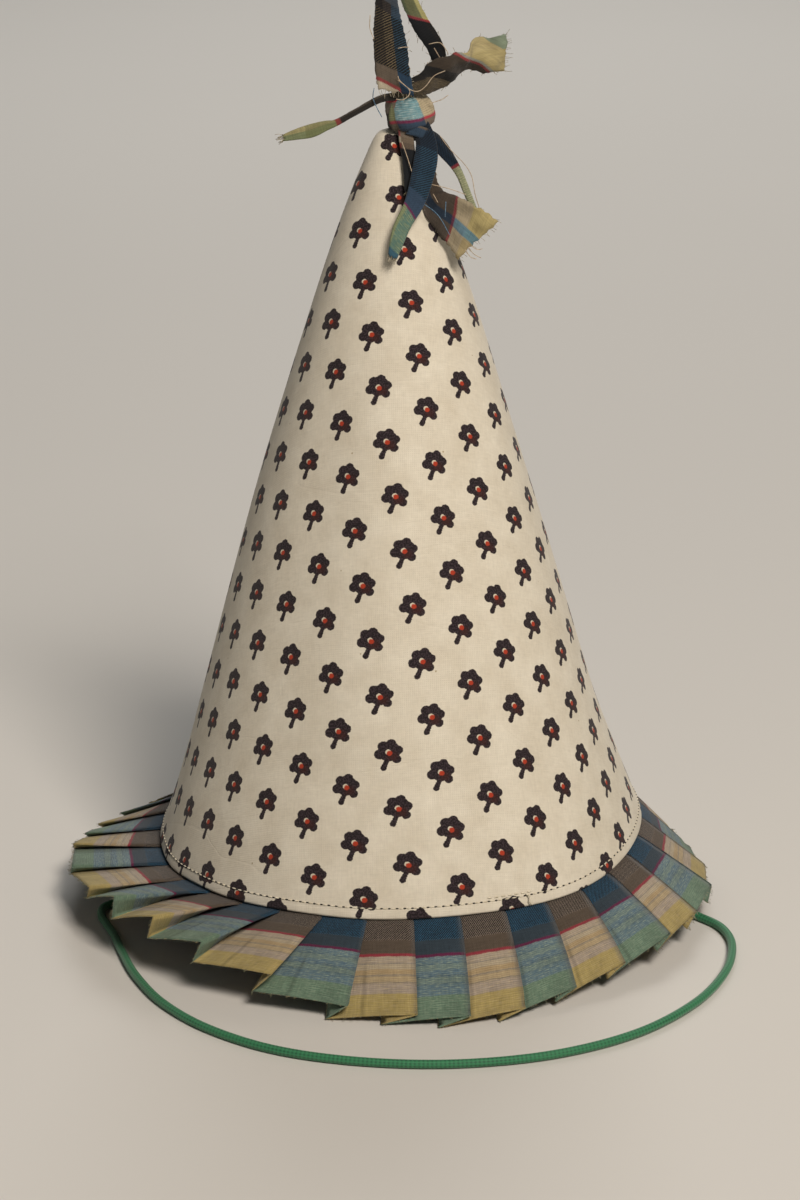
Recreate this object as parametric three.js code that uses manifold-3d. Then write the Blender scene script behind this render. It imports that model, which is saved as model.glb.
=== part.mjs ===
// A child's cloth party hat. A cone of printed cotton is open below and closed at its tip. A knife-pleated
// plaid ruffle is sewn inside its hem, torn plaid strips are knotted on its tip, and a round elastic cord is
// sewn inside the ruffle at both sides.
// Millimetres, +Z up. The hat stands on the plane z = 0 and its front faces -Y.
import * as THREE from "three";
import Module from "manifold-3d";
import { mergeVertices } from "three/addons/utils/BufferGeometryUtils.js";

const wasm = await Module();
wasm.setup();

// The crown
const CROWN_HEIGHT = 190;
const CROWN_WALL = 1.2;
const CROWN_SEGMENTS = 48;
const HEM_HEIGHT = 18.5;
// The hem rises by this much for each millimetre towards +X, and the tip leans the other way.
const HEM_SLOPE = 0.0405;
const TIP_LEAN = -1.6;
// From the hem's centre to the middle of the whole hat's outline, seen from above
const HAT_SHIFT = { x: 2.6, y: 1.3 };

// The crown's outline: the height above the hem, and the outer radius there.
const CROWN_OUTLINE = [
  { up: 0, radius: 65 },
  { up: 8, radius: 61.9 },
  { up: 16, radius: 59.1 },
  { up: 33, radius: 53.6 },
  { up: 62, radius: 45.5 },
  { up: 89, radius: 37.9 },
  { up: 116, radius: 29.8 },
  { up: 137, radius: 23.3 },
  { up: 153, radius: 18.1 },
  { up: 165, radius: 13.8 },
  { up: 175, radius: 9.9 },
  { up: 182, radius: 6.9 },
  { up: 186.5, radius: 4.9 },
  { up: 189, radius: 3.1 },
  { up: CROWN_HEIGHT, radius: 0 },
];

// Soft folds down the crown: where each lies, how far it spreads to either side, and how far the cloth
// stands proud of the round there, or below it. They fade out towards the hem and the tip.
const CROWN_FOLDS = [
  { azimuth: 265, spread: 14, proud: 0.7 },
  { azimuth: 292, spread: 12, proud: -0.6 },
  { azimuth: 235, spread: 16, proud: -0.7 },
  { azimuth: 330, spread: 14, proud: 0.6 },
  { azimuth: 30, spread: 20, proud: -0.6 },
  { azimuth: 90, spread: 14, proud: 0.8 },
  { azimuth: 160, spread: 18, proud: -0.6 },
];

// Waves of the hem: where each lies, how far it spreads to either side, and how far the edge there sinks and
// stands out. They fade out up to this height above the hem.
const WAVE_HEIGHT = 45;
const HEM_WAVES = [
  { azimuth: 314, spread: 24, droop: 1.6 },
  { azimuth: 245, spread: 14, droop: -0.45 },
  { azimuth: 202, spread: 9, droop: 0.5 },
];

// The ruffle
const PLEATS = 34;
const FIRST_RIDGE = 272.7;
const RUFFLE_WALL = 1.1;
const GAP = 0.45;
const HEADER_TOP = 8;
const HEADER_FOOT = 1;
// Where the ruffle turns out from under the hem: distance inside the hem's edge, and drop below it
const TURN = { inside: 1.7, drop: 1.1 };
const FLARE_START = { inside: -0.2, drop: 2.1 };
// How far out each row of the flare lies, as a share of its width. From the toe outwards it may lie flat.
const FLARE_ROWS = [0, 0.2, 0.45, 0.7, 0.9, 1];
const TOE_ROW = 0.9;
// At the hem each valley starts short of the ridge before it, and each ridge stands this high.
const HEM_LAP = -3;
const HEM_LIFT = 0.5;
// Each fold is cut back this far on both leaves, and each lower leaf lies flat this far from its fold.
const FOLD_NOSE = 0.3;
const FOOT = 3;
// What comes this near to the floor lies on it.
const FLOOR_REACH = 0.9;
// Each upper leaf has one more corner, this share of the way across it.
const LEAF_BREAK = 0.4;

// The ruffle's outer edge, by the azimuth at which a ridge leaves the hem: the height of the valleys'
// undersides above the floor, the radius, how far the ridge is swept round in degrees, how high it stands
// above the next valley, and how far it laps over it.
const RUFFLE_EDGE = [
  { azimuth: 8, height: 1, reach: 80.8, sweep: 3, lift: 2.7, lap: 5.5 },
  { azimuth: 24, height: 0, reach: 80.8, sweep: 2, lift: 2.7, lap: 5.5 },
  { azimuth: 45, height: 0, reach: 83, sweep: 0, lift: 3, lap: 5.5 },
  { azimuth: 75, height: 2, reach: 86, sweep: 0, lift: 3.4, lap: 5 },
  { azimuth: 100, height: 3, reach: 87.5, sweep: 0, lift: 3.6, lap: 4.5 },
  { azimuth: 125, height: 0, reach: 86, sweep: 0, lift: 3.4, lap: 5 },
  { azimuth: 145, height: 0, reach: 86.5, sweep: 0, lift: 3.2, lap: 5 },
  { azimuth: 165, height: 3.5, reach: 87.5, sweep: -3, lift: 3, lap: 4.5 },
  { azimuth: 178, height: 7, reach: 87, sweep: -5, lift: 3, lap: 4.5 },
  { azimuth: 188, height: 9.5, reach: 88.4, sweep: -6.5, lift: 3, lap: 4 },
  { azimuth: 198, height: 10, reach: 89.6, sweep: -6, lift: 3.2, lap: 3.5 },
  { azimuth: 209, height: 11, reach: 89.5, sweep: -4.5, lift: 4, lap: 2.5 },
  { azimuth: 220, height: 11, reach: 89, sweep: -6, lift: 7, lap: 1.5 },
  { azimuth: 230, height: 11, reach: 88.6, sweep: -5.8, lift: 7, lap: 2.5 },
  { azimuth: 241, height: 9.2, reach: 88.6, sweep: -5.6, lift: 6.4, lap: 3 },
  { azimuth: 251.5, height: 4.8, reach: 87.5, sweep: -3.4, lift: 5.6, lap: 5.5 },
  { azimuth: 262, height: 0, reach: 87.4, sweep: -1.1, lift: 4, lap: 5.5 },
  { azimuth: 272.7, height: 0, reach: 88.7, sweep: -0.2, lift: 2.6, lap: 9 },
  { azimuth: 283.3, height: 0, reach: 90.9, sweep: -2.4, lift: 2.5, lap: 8 },
  { azimuth: 294, height: 0, reach: 90.3, sweep: -3.8, lift: 2.5, lap: 7 },
  { azimuth: 304.5, height: 1.2, reach: 87.6, sweep: -4.2, lift: 2.7, lap: 6 },
  { azimuth: 315, height: 3, reach: 86.6, sweep: -3.8, lift: 2.7, lap: 6 },
  { azimuth: 325.7, height: 5.2, reach: 87, sweep: -2.6, lift: 2.7, lap: 6 },
  { azimuth: 336, height: 5, reach: 86, sweep: -2.2, lift: 2.7, lap: 6 },
  { azimuth: 347, height: 4, reach: 84.8, sweep: 0.8, lift: 2.7, lap: 6 },
  { azimuth: 357.5, height: 2.5, reach: 82.3, sweep: 2, lift: 2.7, lap: 5.5 },
];

// The tassel, measured from the crown's tip: the middle, width and twist of each torn strip, from its knotted
// end outwards. A strip with no twist faces the front.
const STRIP_THICKNESS = 1;
const STRIPS = {
  loop: [
    { x: 1.6, y: -3.2, z: 8.5, width: 7, twist: 0 },
    { x: 0.4, y: -4.2, z: 14.5, width: 8.6, twist: -12 },
    { x: -0.1, y: -3.6, z: 20, width: 8.8, twist: -12 },
    { x: -0.7, y: -2.8, z: 26, width: 7.6, twist: -15 },
    { x: -1.1, y: -1.6, z: 32, width: 6.2, twist: -25 },
    { x: -0.8, y: -0.6, z: 37.5, width: 5, twist: -50 },
    { x: 0.9, y: 0.4, z: 40.6, width: 4.4, twist: -80 },
    { x: 2.9, y: 1, z: 37, width: 4, twist: -40 },
    { x: 5.2, y: 1.2, z: 31, width: 4, twist: -10 },
    { x: 8, y: 0.9, z: 25.5, width: 4.4, twist: 0 },
    { x: 11.2, y: 0.3, z: 20.5, width: 4.2, twist: 10 },
    { x: 12.9, y: -1, z: 15, width: 3.4, twist: 20 },
  ],
  right_tail: [
    { x: 0.5, y: -4.6, z: 9.2, width: 3.2, twist: 0 },
    { x: 5.3, y: -4.8, z: 11, width: 4, twist: 0 },
    { x: 8.8, y: -4.4, z: 12.3, width: 5.8, twist: 8 },
    { x: 12.8, y: -3.4, z: 14.3, width: 8, twist: 12 },
    { x: 16.1, y: -1.8, z: 15.4, width: 7, twist: 20 },
    { x: 19, y: 0, z: 16.2, width: 5.8, twist: 30 },
    { x: 21.6, y: 2, z: 17, width: 6.8, twist: 20 },
    { x: 25, y: 3.8, z: 18, width: 10, twist: -5 },
    { x: 29.2, y: 5, z: 17.9, width: 8.6, twist: -12 },
  ],
  left_tail: [
    { x: 2, y: -3.6, z: 8.8, width: 2.6, twist: 0 },
    { x: -4, y: -5.6, z: 8.4, width: 2.2, twist: 20 },
    { x: -8.5, y: -7.6, z: 5.8, width: 1.8, twist: 30 },
    { x: -13.6, y: -9.6, z: 3.2, width: 1.6, twist: 20 },
    { x: -16.3, y: -10.6, z: 2.8, width: 2.3, twist: 0 },
    { x: -19.8, y: -11.8, z: 1.8, width: 3.3, twist: -10 },
    { x: -23.5, y: -12.8, z: 1.1, width: 2.6, twist: -10 },
    { x: -26.8, y: -13.5, z: 0.4, width: 1.4, twist: 0 },
  ],
  front_fold: [
    { x: 7, y: -4.8, z: 1.6, width: 4.4, twist: 0 },
    { x: 8.5, y: -7.4, z: -1.2, width: 5, twist: 10 },
    { x: 8.8, y: -9.2, z: -4.2, width: 6, twist: 14 },
    { x: 8.4, y: -10.6, z: -7.4, width: 6.3, twist: 10 },
    { x: 7.2, y: -12.6, z: -12.2, width: 5.6, twist: 0 },
    { x: 5.7, y: -14.4, z: -16.5, width: 5.2, twist: -6 },
    { x: 3.1, y: -16.6, z: -20.8, width: 4.6, twist: -10 },
    { x: 1.4, y: -18.2, z: -24.9, width: 3.8, twist: -8 },
    { x: 0.2, y: -19.4, z: -28.8, width: 1.8, twist: 0 },
  ],
  thin_right: [
    { x: 7.6, y: -4, z: 2, width: 4, twist: 0 },
    { x: 10, y: -5.6, z: -0.6, width: 3.6, twist: 0 },
    { x: 12.8, y: -6.4, z: -4, width: 3, twist: 10 },
    { x: 15.6, y: -7.2, z: -7.8, width: 2.4, twist: 15 },
    { x: 17.4, y: -8, z: -10.8, width: 2, twist: 10 },
    { x: 19.2, y: -9.4, z: -15, width: 1.5, twist: 0 },
    { x: 21.6, y: -10.6, z: -20.6, width: 1.1, twist: 0 },
  ],
  wide_flag: [
    { x: 7.4, y: -3.4, z: 1.2, width: 3.8, twist: 0 },
    { x: 8.6, y: -5.4, z: -4.5, width: 4.4, twist: 0 },
    { x: 8.8, y: -7.6, z: -10.4, width: 5, twist: 10 },
    { x: 9.6, y: -9.2, z: -15.6, width: 7, twist: 14 },
    { x: 12.6, y: -10.4, z: -18.8, width: 10, twist: 12 },
    { x: 16.6, y: -11.4, z: -21.6, width: 12.2, twist: 10 },
    { x: 21.8, y: -12.8, z: -26.3, width: 14.2, twist: 4 },
  ],
  dark_left: [
    { x: 3.6, y: -3.6, z: 1.4, width: 3, twist: 0 },
    { x: 3.9, y: -6.4, z: -2.4, width: 2.6, twist: 0 },
    { x: 4.5, y: -8.4, z: -7.4, width: 2.4, twist: 0 },
    { x: 4.4, y: -11.2, z: -14, width: 1.6, twist: 0 },
  ],
};
// The knot, a bundle of cloth that is wider than it is high
const KNOT = { x: 3.8, y: -0.6, low: -3.4, high: 9.4, across: 6.2, deep: 5.2, sides: 14 };
// How wide the knot is at shares of its height
const KNOT_SWELL = [
  { share: 0, width: 0.72 },
  { share: 0.25, width: 0.98 },
  { share: 0.6, width: 1 },
  { share: 0.85, width: 0.86 },
  { share: 1, width: 0.55 },
];

// The chin cord, from its stitches inside the ruffle on the left, under the ruffle's edge, in a loop over the
// floor in front of the hat, and back up inside the ruffle on the right. Places from the hem's centre.
const CORD_DIAMETER = 2.2;
const CORD_SIDES = 8;
const CORD_STEPS = 78;
const CORD_ROUTE = [
  { x: -57.2, y: -10.2, z: 22 },
  { x: -59, y: -10.5, z: 16.4 },
  { x: -60.6, y: -11, z: 10.6 },
  { x: -64.6, y: -11.8, z: 5.2 },
  { x: -70.4, y: -12.9, z: 2 },
  { x: -75.6, y: -14.2, z: 1.25 },
  { x: -79.4, y: -17.8, z: 1.2 },
  { x: -79.6, y: -23.2, z: 1.2 },
  { x: -77.8, y: -28.8, z: 1.2 },
  { x: -75.4, y: -35.6, z: 1.2 },
  { x: -72.6, y: -46, z: 1.2 },
  { x: -68, y: -61, z: 1.2 },
  { x: -60, y: -77.5, z: 1.2 },
  { x: -47.5, y: -92.5, z: 1.2 },
  { x: -30, y: -104.5, z: 1.2 },
  { x: -8, y: -111, z: 1.2 },
  { x: 15, y: -112, z: 1.2 },
  { x: 38, y: -107, z: 1.2 },
  { x: 58.5, y: -95.5, z: 1.2 },
  { x: 74, y: -78.5, z: 1.2 },
  { x: 83, y: -60.5, z: 1.2 },
  { x: 86.2, y: -44.5, z: 1.2 },
  { x: 84.6, y: -33.2, z: 1.2 },
  { x: 79, y: -25.6, z: 1.25 },
  { x: 71.4, y: -20.6, z: 2.6 },
  { x: 65, y: -17.6, z: 7.2 },
  { x: 61, y: -15.8, z: 13.4 },
  { x: 58.6, y: -14.9, z: 20 },
  { x: 56.6, y: -14.4, z: 26.4 },
];

const radians = THREE.MathUtils.degToRad;
const mix = THREE.MathUtils.lerp;
const smoothstep = THREE.MathUtils.smoothstep;

// The value of one column of a table at a place between its rows
function between(rows, key, at, column) {
  const next = rows.findIndex((row) => row[key] > at);
  if (next < 0) return rows[rows.length - 1][column];
  if (next === 0) return rows[0][column];
  const before = rows[next - 1];
  const after = rows[next];
  return mix(before[column], after[column], (at - before[key]) / (after[key] - before[key]));
}

// A closed mesh's geometry from its corner points and triangles, turned to face outwards
function closedGeometry(points, triangles) {
  const edge1 = new THREE.Vector3();
  const edge2 = new THREE.Vector3();
  let volume = 0;
  for (const [a, b, c] of triangles) {
    edge1.copy(points[b]);
    edge2.copy(points[c]);
    volume += points[a].dot(edge1.cross(edge2));
  }
  const facing = volume > 0 ? triangles : triangles.map(([a, b, c]) => [a, c, b]);
  const geometry = new THREE.BufferGeometry().setFromPoints(points);
  geometry.setIndex(facing.flat());
  return geometry;
}

// A skin over a row of rings that have the same number of points. The rings go round and join up, or
// else the first and last are closed by flat ends.
function loft(rings, joined) {
  const size = rings[0].length;
  const triangles = [];
  const spans = joined ? rings.length : rings.length - 1;
  for (let i = 0; i < spans; i += 1) {
    const here = i * size;
    const there = ((i + 1) % rings.length) * size;
    for (let j = 0; j < size; j += 1) {
      const next = (j + 1) % size;
      triangles.push([here + j, there + j, there + next]);
      triangles.push([here + j, there + next, here + next]);
    }
  }
  if (!joined) {
    const last = (rings.length - 1) * size;
    for (let j = 1; j < size - 1; j += 1) {
      triangles.push([0, j, j + 1]);
      triangles.push([last, last + j + 1, last + j]);
    }
  }
  return closedGeometry(rings.flat(), triangles);
}

// The solid of a closed geometry, for joining and cutting
function toSolid(geometry) {
  const bare = geometry.clone();
  bare.deleteAttribute("normal");
  bare.deleteAttribute("uv");
  const merged = mergeVertices(bare, 1e-4);
  const vertProperties = Float32Array.from(merged.attributes.position.array);
  const triVerts = Uint32Array.from(merged.index.array);
  return new wasm.Manifold(new wasm.Mesh({ numProp: 3, vertProperties, triVerts }));
}

function fromSolid(solid) {
  const mesh = solid.getMesh();
  const geometry = new THREE.BufferGeometry();
  geometry.setAttribute("position", new THREE.BufferAttribute(Float32Array.from(mesh.vertProperties), 3));
  geometry.setIndex(Array.from(mesh.triVerts));
  return geometry;
}

function piece(name, geometry, color, roughness) {
  geometry.computeVertexNormals();
  const mesh = new THREE.Mesh(geometry, new THREE.MeshStandardMaterial({ color, roughness, metalness: 0 }));
  mesh.name = name;
  return mesh;
}

// The crown

// How much of a soft fold or wave there is at an azimuth
function swell(row, azimuth) {
  const away = Math.abs(((azimuth - row.azimuth + 540) % 360) - 180);
  return Math.exp(-((away / row.spread) ** 2));
}

// How far the hem sinks and stands out at an azimuth
function droopAt(azimuth) {
  return HEM_WAVES.reduce((sum, row) => sum + row.droop * swell(row, azimuth), 0);
}

// Where a point of the smooth upright cone lies on the folded, leaning crown with its sloping hem
function settle(azimuth, radius, up) {
  const share = THREE.MathUtils.clamp(up / CROWN_HEIGHT, 0, 1);
  const shown = smoothstep(share, 0.04, 0.3) * (1 - smoothstep(share, 0.55, 0.9));
  const fold = CROWN_FOLDS.reduce((sum, row) => sum + row.proud * swell(row, azimuth), 0) * shown;
  const droop = droopAt(azimuth) * (1 - smoothstep(up, 0, WAVE_HEIGHT));
  const out = radius > 1 ? radius + fold + droop : radius;
  const x = out * Math.cos(radians(azimuth));
  const y = out * Math.sin(radians(azimuth));
  const height = HEM_HEIGHT + up - droop + HEM_SLOPE * x * (1 - share);
  return new THREE.Vector3(x + TIP_LEAN * share, y, height);
}

// Points up the crown's outline from the hem to the tip, set in by a distance square to the cloth
function outlineInset(inset) {
  const corners = CROWN_OUTLINE.map((row) => new THREE.Vector2(row.radius, row.up));
  return corners.map((corner, i) => {
    const before = corners[Math.max(i - 1, 0)];
    const after = corners[Math.min(i + 1, corners.length - 1)];
    const along = after.clone().sub(before).normalize();
    const isTip = i === corners.length - 1;
    const outward = isTip ? new THREE.Vector2(0, 1) : new THREE.Vector2(along.y, -along.x);
    const radius = Math.max(corner.x - outward.x * inset, 0);
    const up = i === 0 ? 0 : corner.y - outward.y * inset;
    return new THREE.Vector2(radius, up);
  });
}

function crownCone() {
  const inner = outlineInset(CROWN_WALL).reverse();
  const outer = outlineInset(0);
  const geometry = new THREE.LatheGeometry([...inner, ...outer], CROWN_SEGMENTS);
  geometry.rotateX(Math.PI / 2);
  const position = geometry.attributes.position;
  for (let i = 0; i < position.count; i += 1) {
    const x = position.getX(i);
    const y = position.getY(i);
    const azimuth = (THREE.MathUtils.radToDeg(Math.atan2(y, x)) + 360) % 360;
    const moved = settle(azimuth, Math.hypot(x, y), position.getZ(i));
    position.setXYZ(i, moved.x, moved.y, moved.z);
  }
  return fromSolid(toSolid(geometry));
}

// The ruffle

// The radius of the middle of the ruffle's header, sewn flat inside the crown, at a height above the hem
function headerRadius(up) {
  const outer = between(CROWN_OUTLINE, "up", up, "radius");
  const slope = outer - between(CROWN_OUTLINE, "up", up + 1, "radius");
  return outer - (CROWN_WALL + GAP + RUFFLE_WALL / 2) * Math.hypot(1, slope);
}

// The ruffle's edge at an azimuth, from the table, which goes round
function edgeAt(azimuth) {
  const around = ((azimuth % 360) + 360) % 360;
  const last = RUFFLE_EDGE[RUFFLE_EDGE.length - 1];
  const rows = [
    { ...last, azimuth: last.azimuth - 360 },
    ...RUFFLE_EDGE,
    { ...RUFFLE_EDGE[0], azimuth: RUFFLE_EDGE[0].azimuth + 360 },
  ];
  const edge = {};
  for (const column of ["height", "reach", "sweep", "lift", "lap"]) {
    edge[column] = between(rows, "azimuth", around, column);
  }
  return edge;
}

// The line of one ridge and the valley under it, from the header's top to the outer edge. Each row has the
// radius, height and azimuth where the cloth would lie unpleated, with the lap and the lift there.
function pleatLine(index) {
  const azimuth = (FIRST_RIDGE + (index * 360) / PLEATS) % 360;
  const edge = edgeAt(azimuth);
  const droop = droopAt(azimuth);
  const hem = settle(azimuth, CROWN_OUTLINE[0].radius, 0);
  const hemRadius = CROWN_OUTLINE[0].radius + droop;
  const rows = [HEADER_TOP, HEADER_FOOT].map((up) => {
    const place = settle(azimuth, headerRadius(up), up);
    return { radius: Math.hypot(place.x, place.y), height: place.z, azimuth, lap: HEM_LAP, lift: 0 };
  });
  rows.push({ radius: hemRadius - TURN.inside, height: hem.z - TURN.drop, azimuth, lap: HEM_LAP, lift: 0 });
  const start = hem.z - FLARE_START.drop;
  const end = edge.height + RUFFLE_WALL / 2;
  for (const out of FLARE_ROWS) {
    let height = mix(start, end, out);
    if (out >= TOE_ROW) {
      const toe = (out - TOE_ROW) / (1 - TOE_ROW);
      height = Math.min(height, mix(end + edge.height, end, toe));
    }
    rows.push({
      radius: mix(hemRadius - FLARE_START.inside, edge.reach, out),
      height,
      azimuth: azimuth + edge.sweep * out,
      lap: mix(HEM_LAP, edge.lap, out ** 1.5),
      lift: mix(HEM_LIFT, edge.lift, out ** 0.8),
    });
  }
  return rows;
}

// One row of a ridge or of a valley: its place, the way round the hat, and the cloth's upper side
function foldFrame(line, row, isRidge) {
  const here = line[row];
  const before = line[Math.max(row - 1, 0)];
  const after = line[Math.min(row + 1, line.length - 1)];
  const down = new THREE.Vector2(after.radius - before.radius, after.height - before.height).normalize();
  const turn = radians(here.azimuth) - (isRidge ? 0 : here.lap / here.radius);
  const radial = new THREE.Vector3(Math.cos(turn), Math.sin(turn), 0);
  const around = new THREE.Vector3(-radial.y, radial.x, 0);
  const upper = radial.clone().multiplyScalar(-down.y);
  upper.z = down.x;
  const place = radial.clone().multiplyScalar(here.radius);
  place.z = here.height + (isRidge ? here.lift : 0);
  return { place, around, upper };
}

// A fold seen along its crease: the corner on its inner side, and the two corners of its outer side
function foldCorners(frame, before, after, innerSide) {
  const { place, around, upper } = frame;
  const heading = (from, to) => {
    const way = to.clone().sub(from);
    return new THREE.Vector2(way.dot(around), way.dot(upper)).normalize();
  };
  const coming = heading(before, place);
  const going = heading(place, after);
  const half = RUFFLE_WALL / 2;
  const side1 = new THREE.Vector2(-coming.y, coming.x);
  const side2 = new THREE.Vector2(-going.y, going.x);
  const at = (x, y) => place.clone().addScaledVector(around, x).addScaledVector(upper, y);
  const miter = (innerSide * half) / (1 + side1.dot(side2));
  const inner = at((side1.x + side2.x) * miter, (side1.y + side2.y) * miter);
  const outerSide = -innerSide * half;
  const outerAt = (side, way, step) => at(
    outerSide * side.x + way.x * step,
    outerSide * side.y + way.y * step,
  );
  const outer1 = outerAt(side1, coming, -FOLD_NOSE);
  const outer2 = outerAt(side2, going, FOLD_NOSE);
  const onLeaf = (step, side) => at(
    going.x * step + side2.x * side * half,
    going.y * step + side2.y * side * half,
  );
  return { inner, outer1, outer2, onLeaf };
}

function ruffle() {
  const lines = Array.from({ length: PLEATS }, (_, index) => pleatLine(index));
  const upper = [];
  const lower = [];
  lines.forEach((line, k) => {
    const nextLine = lines[(k + 1) % PLEATS];
    const top = [[], [], [], []];
    const under = [[], [], [], []];
    line.forEach((_, row) => {
      const valley = foldFrame(line, row, false);
      const nextValley = foldFrame(nextLine, row, false);
      const ridge = foldFrame(nextLine, row, true);
      const ridgeBefore = foldFrame(line, row, true);
      const low = foldCorners(valley, ridgeBefore.place, ridge.place, 1);
      const high = foldCorners(ridge, valley.place, nextValley.place, -1);
      const leaf = valley.place.distanceTo(ridge.place);
      [low.inner, low.onLeaf(leaf * LEAF_BREAK, 1), high.outer1, high.outer2].forEach((corner, i) => {
        top[i].push(corner);
      });
      [low.outer1, low.outer2, low.onLeaf(FOOT, -1)].forEach((corner, i) => {
        corner.z = corner.z < FLOOR_REACH ? 0 : corner.z;
        under[i].push(corner);
      });
      under[3].push(high.inner);
    });
    upper.push(...top);
    lower.push(...under);
  });
  const rings = upper.map((column, i) => [...column, ...lower[i].reverse()]);
  return loft(rings, true);
}

// The tassel

// A torn strip as a flat ribbon through its rows
function strip(rows) {
  const middles = rows.map((row) => new THREE.Vector3(row.x, row.y, row.z));
  const depth = new THREE.Vector3(0, 1, 0);
  const rings = rows.map((row, i) => {
    const before = middles[Math.max(i - 1, 0)];
    const after = middles[Math.min(i + 1, rows.length - 1)];
    const run = after.clone().sub(before).normalize();
    const across = run.clone().cross(depth).normalize().applyAxisAngle(run, radians(row.twist));
    const face = across.clone().cross(run).normalize();
    const corner = (a, b) => middles[i].clone()
      .addScaledVector(across, (a * row.width) / 2)
      .addScaledVector(face, (b * STRIP_THICKNESS) / 2);
    return [corner(-1, -1), corner(1, -1), corner(1, 1), corner(-1, 1)];
  });
  return loft(rings, false);
}

function knot() {
  const rings = KNOT_SWELL.map(({ share, width }) => {
    const z = mix(KNOT.low, KNOT.high, share);
    return Array.from({ length: KNOT.sides }, (_, i) => {
      const turn = (i * 2 * Math.PI) / KNOT.sides;
      const x = KNOT.x + KNOT.across * width * Math.cos(turn);
      return new THREE.Vector3(x, KNOT.y + KNOT.deep * width * Math.sin(turn), z);
    });
  });
  return loft(rings, false);
}

// The room that the crown takes, with a gap round it, measured from the crown's tip
function crownRoom() {
  const outline = outlineInset(-GAP);
  const geometry = new THREE.LatheGeometry([new THREE.Vector2(0, 0), ...outline], CROWN_SEGMENTS);
  geometry.rotateX(Math.PI / 2);
  geometry.translate(0, 0, -CROWN_HEIGHT);
  return toSolid(geometry);
}

function tassel() {
  let solid = toSolid(knot());
  for (const rows of Object.values(STRIPS)) {
    solid = solid.add(toSolid(strip(rows)));
  }
  solid = solid.subtract(crownRoom());
  const geometry = fromSolid(solid);
  const tip = settle(0, 0, CROWN_HEIGHT);
  geometry.translate(tip.x, tip.y, tip.z);
  return geometry;
}

// The chin cord

function chinElastic() {
  const route = new THREE.CatmullRomCurve3(CORD_ROUTE.map(({ x, y, z }) => new THREE.Vector3(x, y, z)));
  const section = new THREE.Shape();
  for (let i = 0; i < CORD_SIDES; i += 1) {
    const turn = ((i + 0.5) * 2 * Math.PI) / CORD_SIDES;
    const x = (CORD_DIAMETER / 2) * Math.cos(turn);
    const y = (CORD_DIAMETER / 2) * Math.sin(turn);
    if (i === 0) section.moveTo(x, y);
    else section.lineTo(x, y);
  }
  return new THREE.ExtrudeGeometry(section, { steps: CORD_STEPS, bevelEnabled: false, extrudePath: route });
}

const hat = new THREE.Group();
hat.position.set(HAT_SHIFT.x, HAT_SHIFT.y, 0);
hat.add(piece("crown_cone", crownCone(), 0xcfc5ad, 0.85));
hat.add(piece("ruffle", ruffle(), 0x5d7a86, 0.85));
hat.add(piece("tassel", tassel(), 0x35506a, 0.85));
hat.add(piece("chin_elastic", chinElastic(), 0x2f7a4f, 0.7));

export default hat;
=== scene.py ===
import math
import random

import bmesh
import bpy
from mathutils import Matrix, Vector, noise


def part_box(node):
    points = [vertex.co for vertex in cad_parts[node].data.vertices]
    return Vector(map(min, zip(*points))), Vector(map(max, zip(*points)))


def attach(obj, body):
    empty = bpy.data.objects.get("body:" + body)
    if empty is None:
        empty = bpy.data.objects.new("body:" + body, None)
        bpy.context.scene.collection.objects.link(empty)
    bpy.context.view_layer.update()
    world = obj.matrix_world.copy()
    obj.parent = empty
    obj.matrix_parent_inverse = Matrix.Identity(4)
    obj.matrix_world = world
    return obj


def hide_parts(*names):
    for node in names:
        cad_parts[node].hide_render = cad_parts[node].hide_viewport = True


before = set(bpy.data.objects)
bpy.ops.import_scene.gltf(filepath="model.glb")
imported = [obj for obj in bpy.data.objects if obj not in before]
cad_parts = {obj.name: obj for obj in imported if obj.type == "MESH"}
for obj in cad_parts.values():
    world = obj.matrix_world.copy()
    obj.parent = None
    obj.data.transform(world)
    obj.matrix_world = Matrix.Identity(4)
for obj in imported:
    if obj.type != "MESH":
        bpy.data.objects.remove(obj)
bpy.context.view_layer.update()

bpy.ops.object.select_all(action="DESELECT")

# The hat stands on the plane z = 0 and faces -Y. Its axis is the middle of the crown's hem.
crown_low, crown_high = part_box("crown_cone")
AXIS = Vector(((crown_low.x + crown_high.x) / 2, (crown_low.y + crown_high.y) / 2, 0))

# The camera
# It looks down on the hat's front from a metre away, through a long lens, so the cone hardly narrows with
# distance. The sensor's width is that of the picture's long side.
CAMERA_AIM = Vector((0.0001, 0, 0.0816)) + AXIS
CAMERA_DISTANCE = 1.0
CAMERA_PITCH = math.radians(19.3586)
CAMERA_ROLL = math.radians(-0.2592)

camera_data = bpy.data.cameras.new("camera")
camera_data.sensor_width = 36
camera_data.lens = 113.4
camera_data.dof.use_dof = False
camera = bpy.data.objects.new("camera", camera_data)
looking = Matrix.Rotation(math.pi / 2 - CAMERA_PITCH, 4, "X") @ Matrix.Rotation(CAMERA_ROLL, 4, "Z")
back = Vector((0, -math.cos(CAMERA_PITCH), math.sin(CAMERA_PITCH)))
camera.matrix_world = Matrix.Translation(CAMERA_AIM + CAMERA_DISTANCE * back) @ looking
bpy.context.scene.collection.objects.link(camera)
bpy.context.scene.camera = camera
bpy.context.scene.view_settings.view_transform = "Standard"


def linear(code):
    """A colour written as sRGB hex, as the shaders want it."""
    parts = [int(code[i : i + 2], 16) / 255 for i in (1, 3, 5)]
    return tuple(p / 12.92 if p <= 0.04045 else ((p + 0.055) / 1.055) ** 2.4 for p in parts) + (1.0,)


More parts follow.
